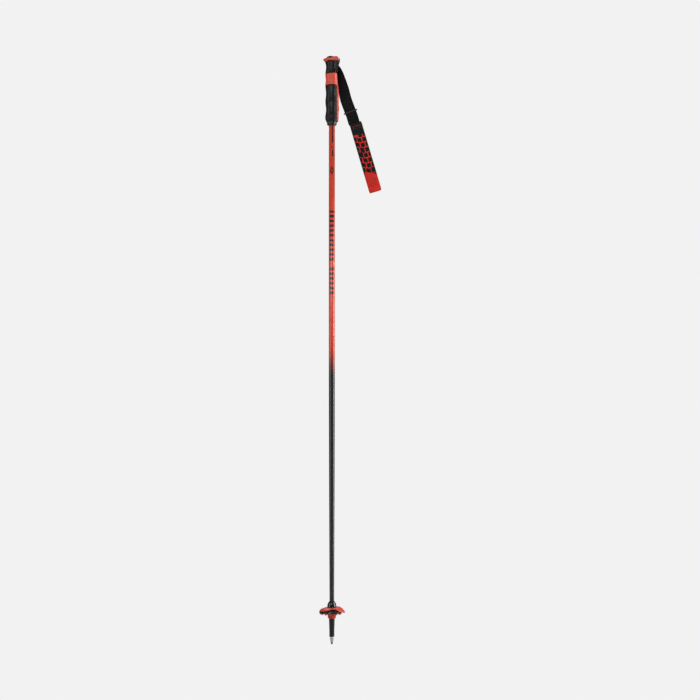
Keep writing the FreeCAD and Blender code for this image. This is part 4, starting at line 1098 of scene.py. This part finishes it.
def make_shaft_and_tip():
    """The tube, the ferrule, its collar, the tip's holder and the carbide point."""
    low, high = box("shaft_tube")
    shaft = lathed("shaft", [(4.4, low.z), (5.3, low.z), (5.3, 110.0), (6.45, 380.0), (6.8, 520.0),
                             (7.0, 640.0), (7.0, high.z), (6.1, high.z), (6.1, 640.0), (5.9, 520.0),
                             (5.55, 380.0), (4.4, 110.0)], "shaft_lacquer", steps=72)
    stand_for(shaft, "pole", "shaft_lacquer", "shaft_tube")

    low, high = box("ferrule_body")
    foot, top = low.z, high.z
    hub_foot = box("basket_hub")[0].z
    ferrule = lathed("ferrule", [(3.02, foot), (4.5, foot), (5.1, foot + 0.2), (5.55, foot + 0.6),
                                 (5.78, foot + 1.2), (5.8, foot + 2.0), (5.8, foot + 15.4),
                                 (6.6, hub_foot), (6.8, hub_foot + 1.0), (6.8, top), (5.32, top),
                                 (5.32, 45.9), (3.02, 45.9)], "hard_black_plastic",
                     bevel=0.15)
    stand_for(ferrule, "pole", "hard_black_plastic", "ferrule_body")

    low, high = box("ferrule_collar")
    foot, top = low.z, high.z
    stops = ((0.9, 10.6), (3.0, 10.4), (5.5, 10.0), (8.0, 9.3), (10.2, 8.2), (12.0, 6.95),
             (13.3, 5.9))
    rises = [0.9 + 12.4 * k / 18 for k in range(1, 19)]
    dome = lifted(foot, (5.35, 0), (10.2, 0), (10.5, 0.25), (10.6, 0.9),
                  *((curve_through(stops, rise), rise) for rise in rises))
    dome += [(5.6, top - 0.1), (5.35, top - 0.3)]
    collar = lathed("collar_dome", dome, "gloss_black_plastic")
    stand_for(collar, "pole", "gloss_black_plastic", "ferrule_collar")

    low, high = box("tip_holder")
    ferrule_foot = box("ferrule_body")[0].z
    holder = lathed("tip_holder_turned", [
        (2.52, low.z), (2.95, low.z), (3.1, low.z + 0.25), (3.65, low.z + 4.0), (3.6, low.z + 4.2),
        (3.7, low.z + 4.5), (4.3, low.z + 8.3), (4.55, low.z + 9.4), (4.7, ferrule_foot - 0.2),
        (4.6, ferrule_foot), (3.0, ferrule_foot), (3.0, high.z), (1.0, high.z), (1.0, 13.2),
        (2.52, 13.2)], "steel")
    stand_for(holder, "pole", "steel", "tip_holder")

    high = box("carbide_tip")[1]
    flutes = lathed("carbide_point", [
        (0.4, 0.0), (1.1, 0.02), (1.7, 0.12), (2.1, 0.4), (2.4, 0.9), (2.5, 1.4), (2.5, high.z),
        (0.4, high.z)], "carbide",
        wobble=lambda a, r, z: -0.25 * (0.5 + 0.5 * cos(6 * a)) if z < 4.0 and r > 1 else 0.0)
    stand_for(flutes, "pole", "carbide", "carbide_tip")


# ---- stage

def make_stage():
    """A pale floor, soft light from both sides and in front, and the camera."""
    pale = 0.888                            # the backdrop as the camera sees it
    far = 30.0
    paint = Paint("floor", (0.45, 0.45, 0.45), 0.9)
    lit = paint.node("ShaderNodeEmission", None, {"Color": (pale, pale, pale), "Strength": 1.0})
    seen = paint.node("ShaderNodeLightPath", output="Is Camera Ray")
    mixed = paint.node("ShaderNodeMixShader", None, {
        0: seen, 1: Sock(paint, paint.shader.outputs[0]), 2: lit})
    paint.tree.links.new(mixed.socket, paint.tree.nodes["Material Output"].inputs["Surface"])
    mesh = bpy.data.meshes.new("floor")
    mesh.from_pydata([(-far, -far, 0), (far, -far, 0), (far, far, 0), (-far, far, 0)], [],
                     [(0, 1, 2, 3)])
    mesh.materials.append(paint.material)
    floor = bpy.data.objects.new("floor", mesh)
    scene.collection.objects.link(floor)

    world = bpy.data.worlds.new("studio")
    scene.world = world
    world.use_nodes = True
    tree = world.node_tree
    backdrop, fill = tree.nodes["Background"], tree.nodes.new("ShaderNodeBackground")
    for shader, colour, strength in ((backdrop, (pale, pale, pale, 1), 1.0),
                                     (fill, (0.93, 0.96, 1.0, 1), 0.10)):
        shader.inputs["Color"].default_value = colour
        shader.inputs["Strength"].default_value = strength
    path = tree.nodes.new("ShaderNodeLightPath")
    mixer = tree.nodes.new("ShaderNodeMixShader")
    tree.links.new(path.outputs["Is Camera Ray"], mixer.inputs[0])
    tree.links.new(fill.outputs[0], mixer.inputs[1])
    tree.links.new(backdrop.outputs[0], mixer.inputs[2])
    tree.links.new(mixer.outputs[0], tree.nodes["World Output"].inputs["Surface"])

    middle = Vector((0.0417, 0.0, 0.675))
    for name, place, size, power in (
            ("left_strip", (-1.9, -0.9, 0.8), (0.5, 2.6), 22.0),
            ("right_strip", (1.8, -0.15, 0.8), (0.4, 2.6), 58.0),
            ("front_fill", (-0.5, -2.5, 2.3), (1.2, 1.2), 36.0),
            ("back_fill", (-0.3, 2.8, 2.4), (1.2, 1.2), 22.0)):
        light = bpy.data.lights.new(name, "AREA")
        light.shape, light.size, light.size_y, light.energy = "RECTANGLE", size[0], size[1], power
        lamp = bpy.data.objects.new(name, light)
        lamp.location = place
        aim = Vector((middle.x, middle.y, place[2] * 0.6 + middle.z * 0.4)) - Vector(place)
        lamp.rotation_euler = aim.to_track_quat("-Z", "Y").to_euler()
        lamp.visible_camera = False
        scene.collection.objects.link(lamp)

    lens = bpy.data.cameras.new("camera")
    distance, field = 4.0, 1.607            # the field's width at the pole
    lens.sensor_width = 36.0
    lens.lens = lens.sensor_width * distance / field
    lens.clip_end = 60.0
    camera = bpy.data.objects.new("camera", lens)
    camera.location = (middle.x, -distance, middle.z)
    camera.rotation_euler = (radians(90), 0, 0)
    scene.collection.objects.link(camera)
    scene.camera = camera
    scene.view_settings.view_transform = "Standard"


dress_frame()
make_grip()
make_collar()
make_head()
make_strap()
make_basket()
make_shaft_and_tip()
make_stage()
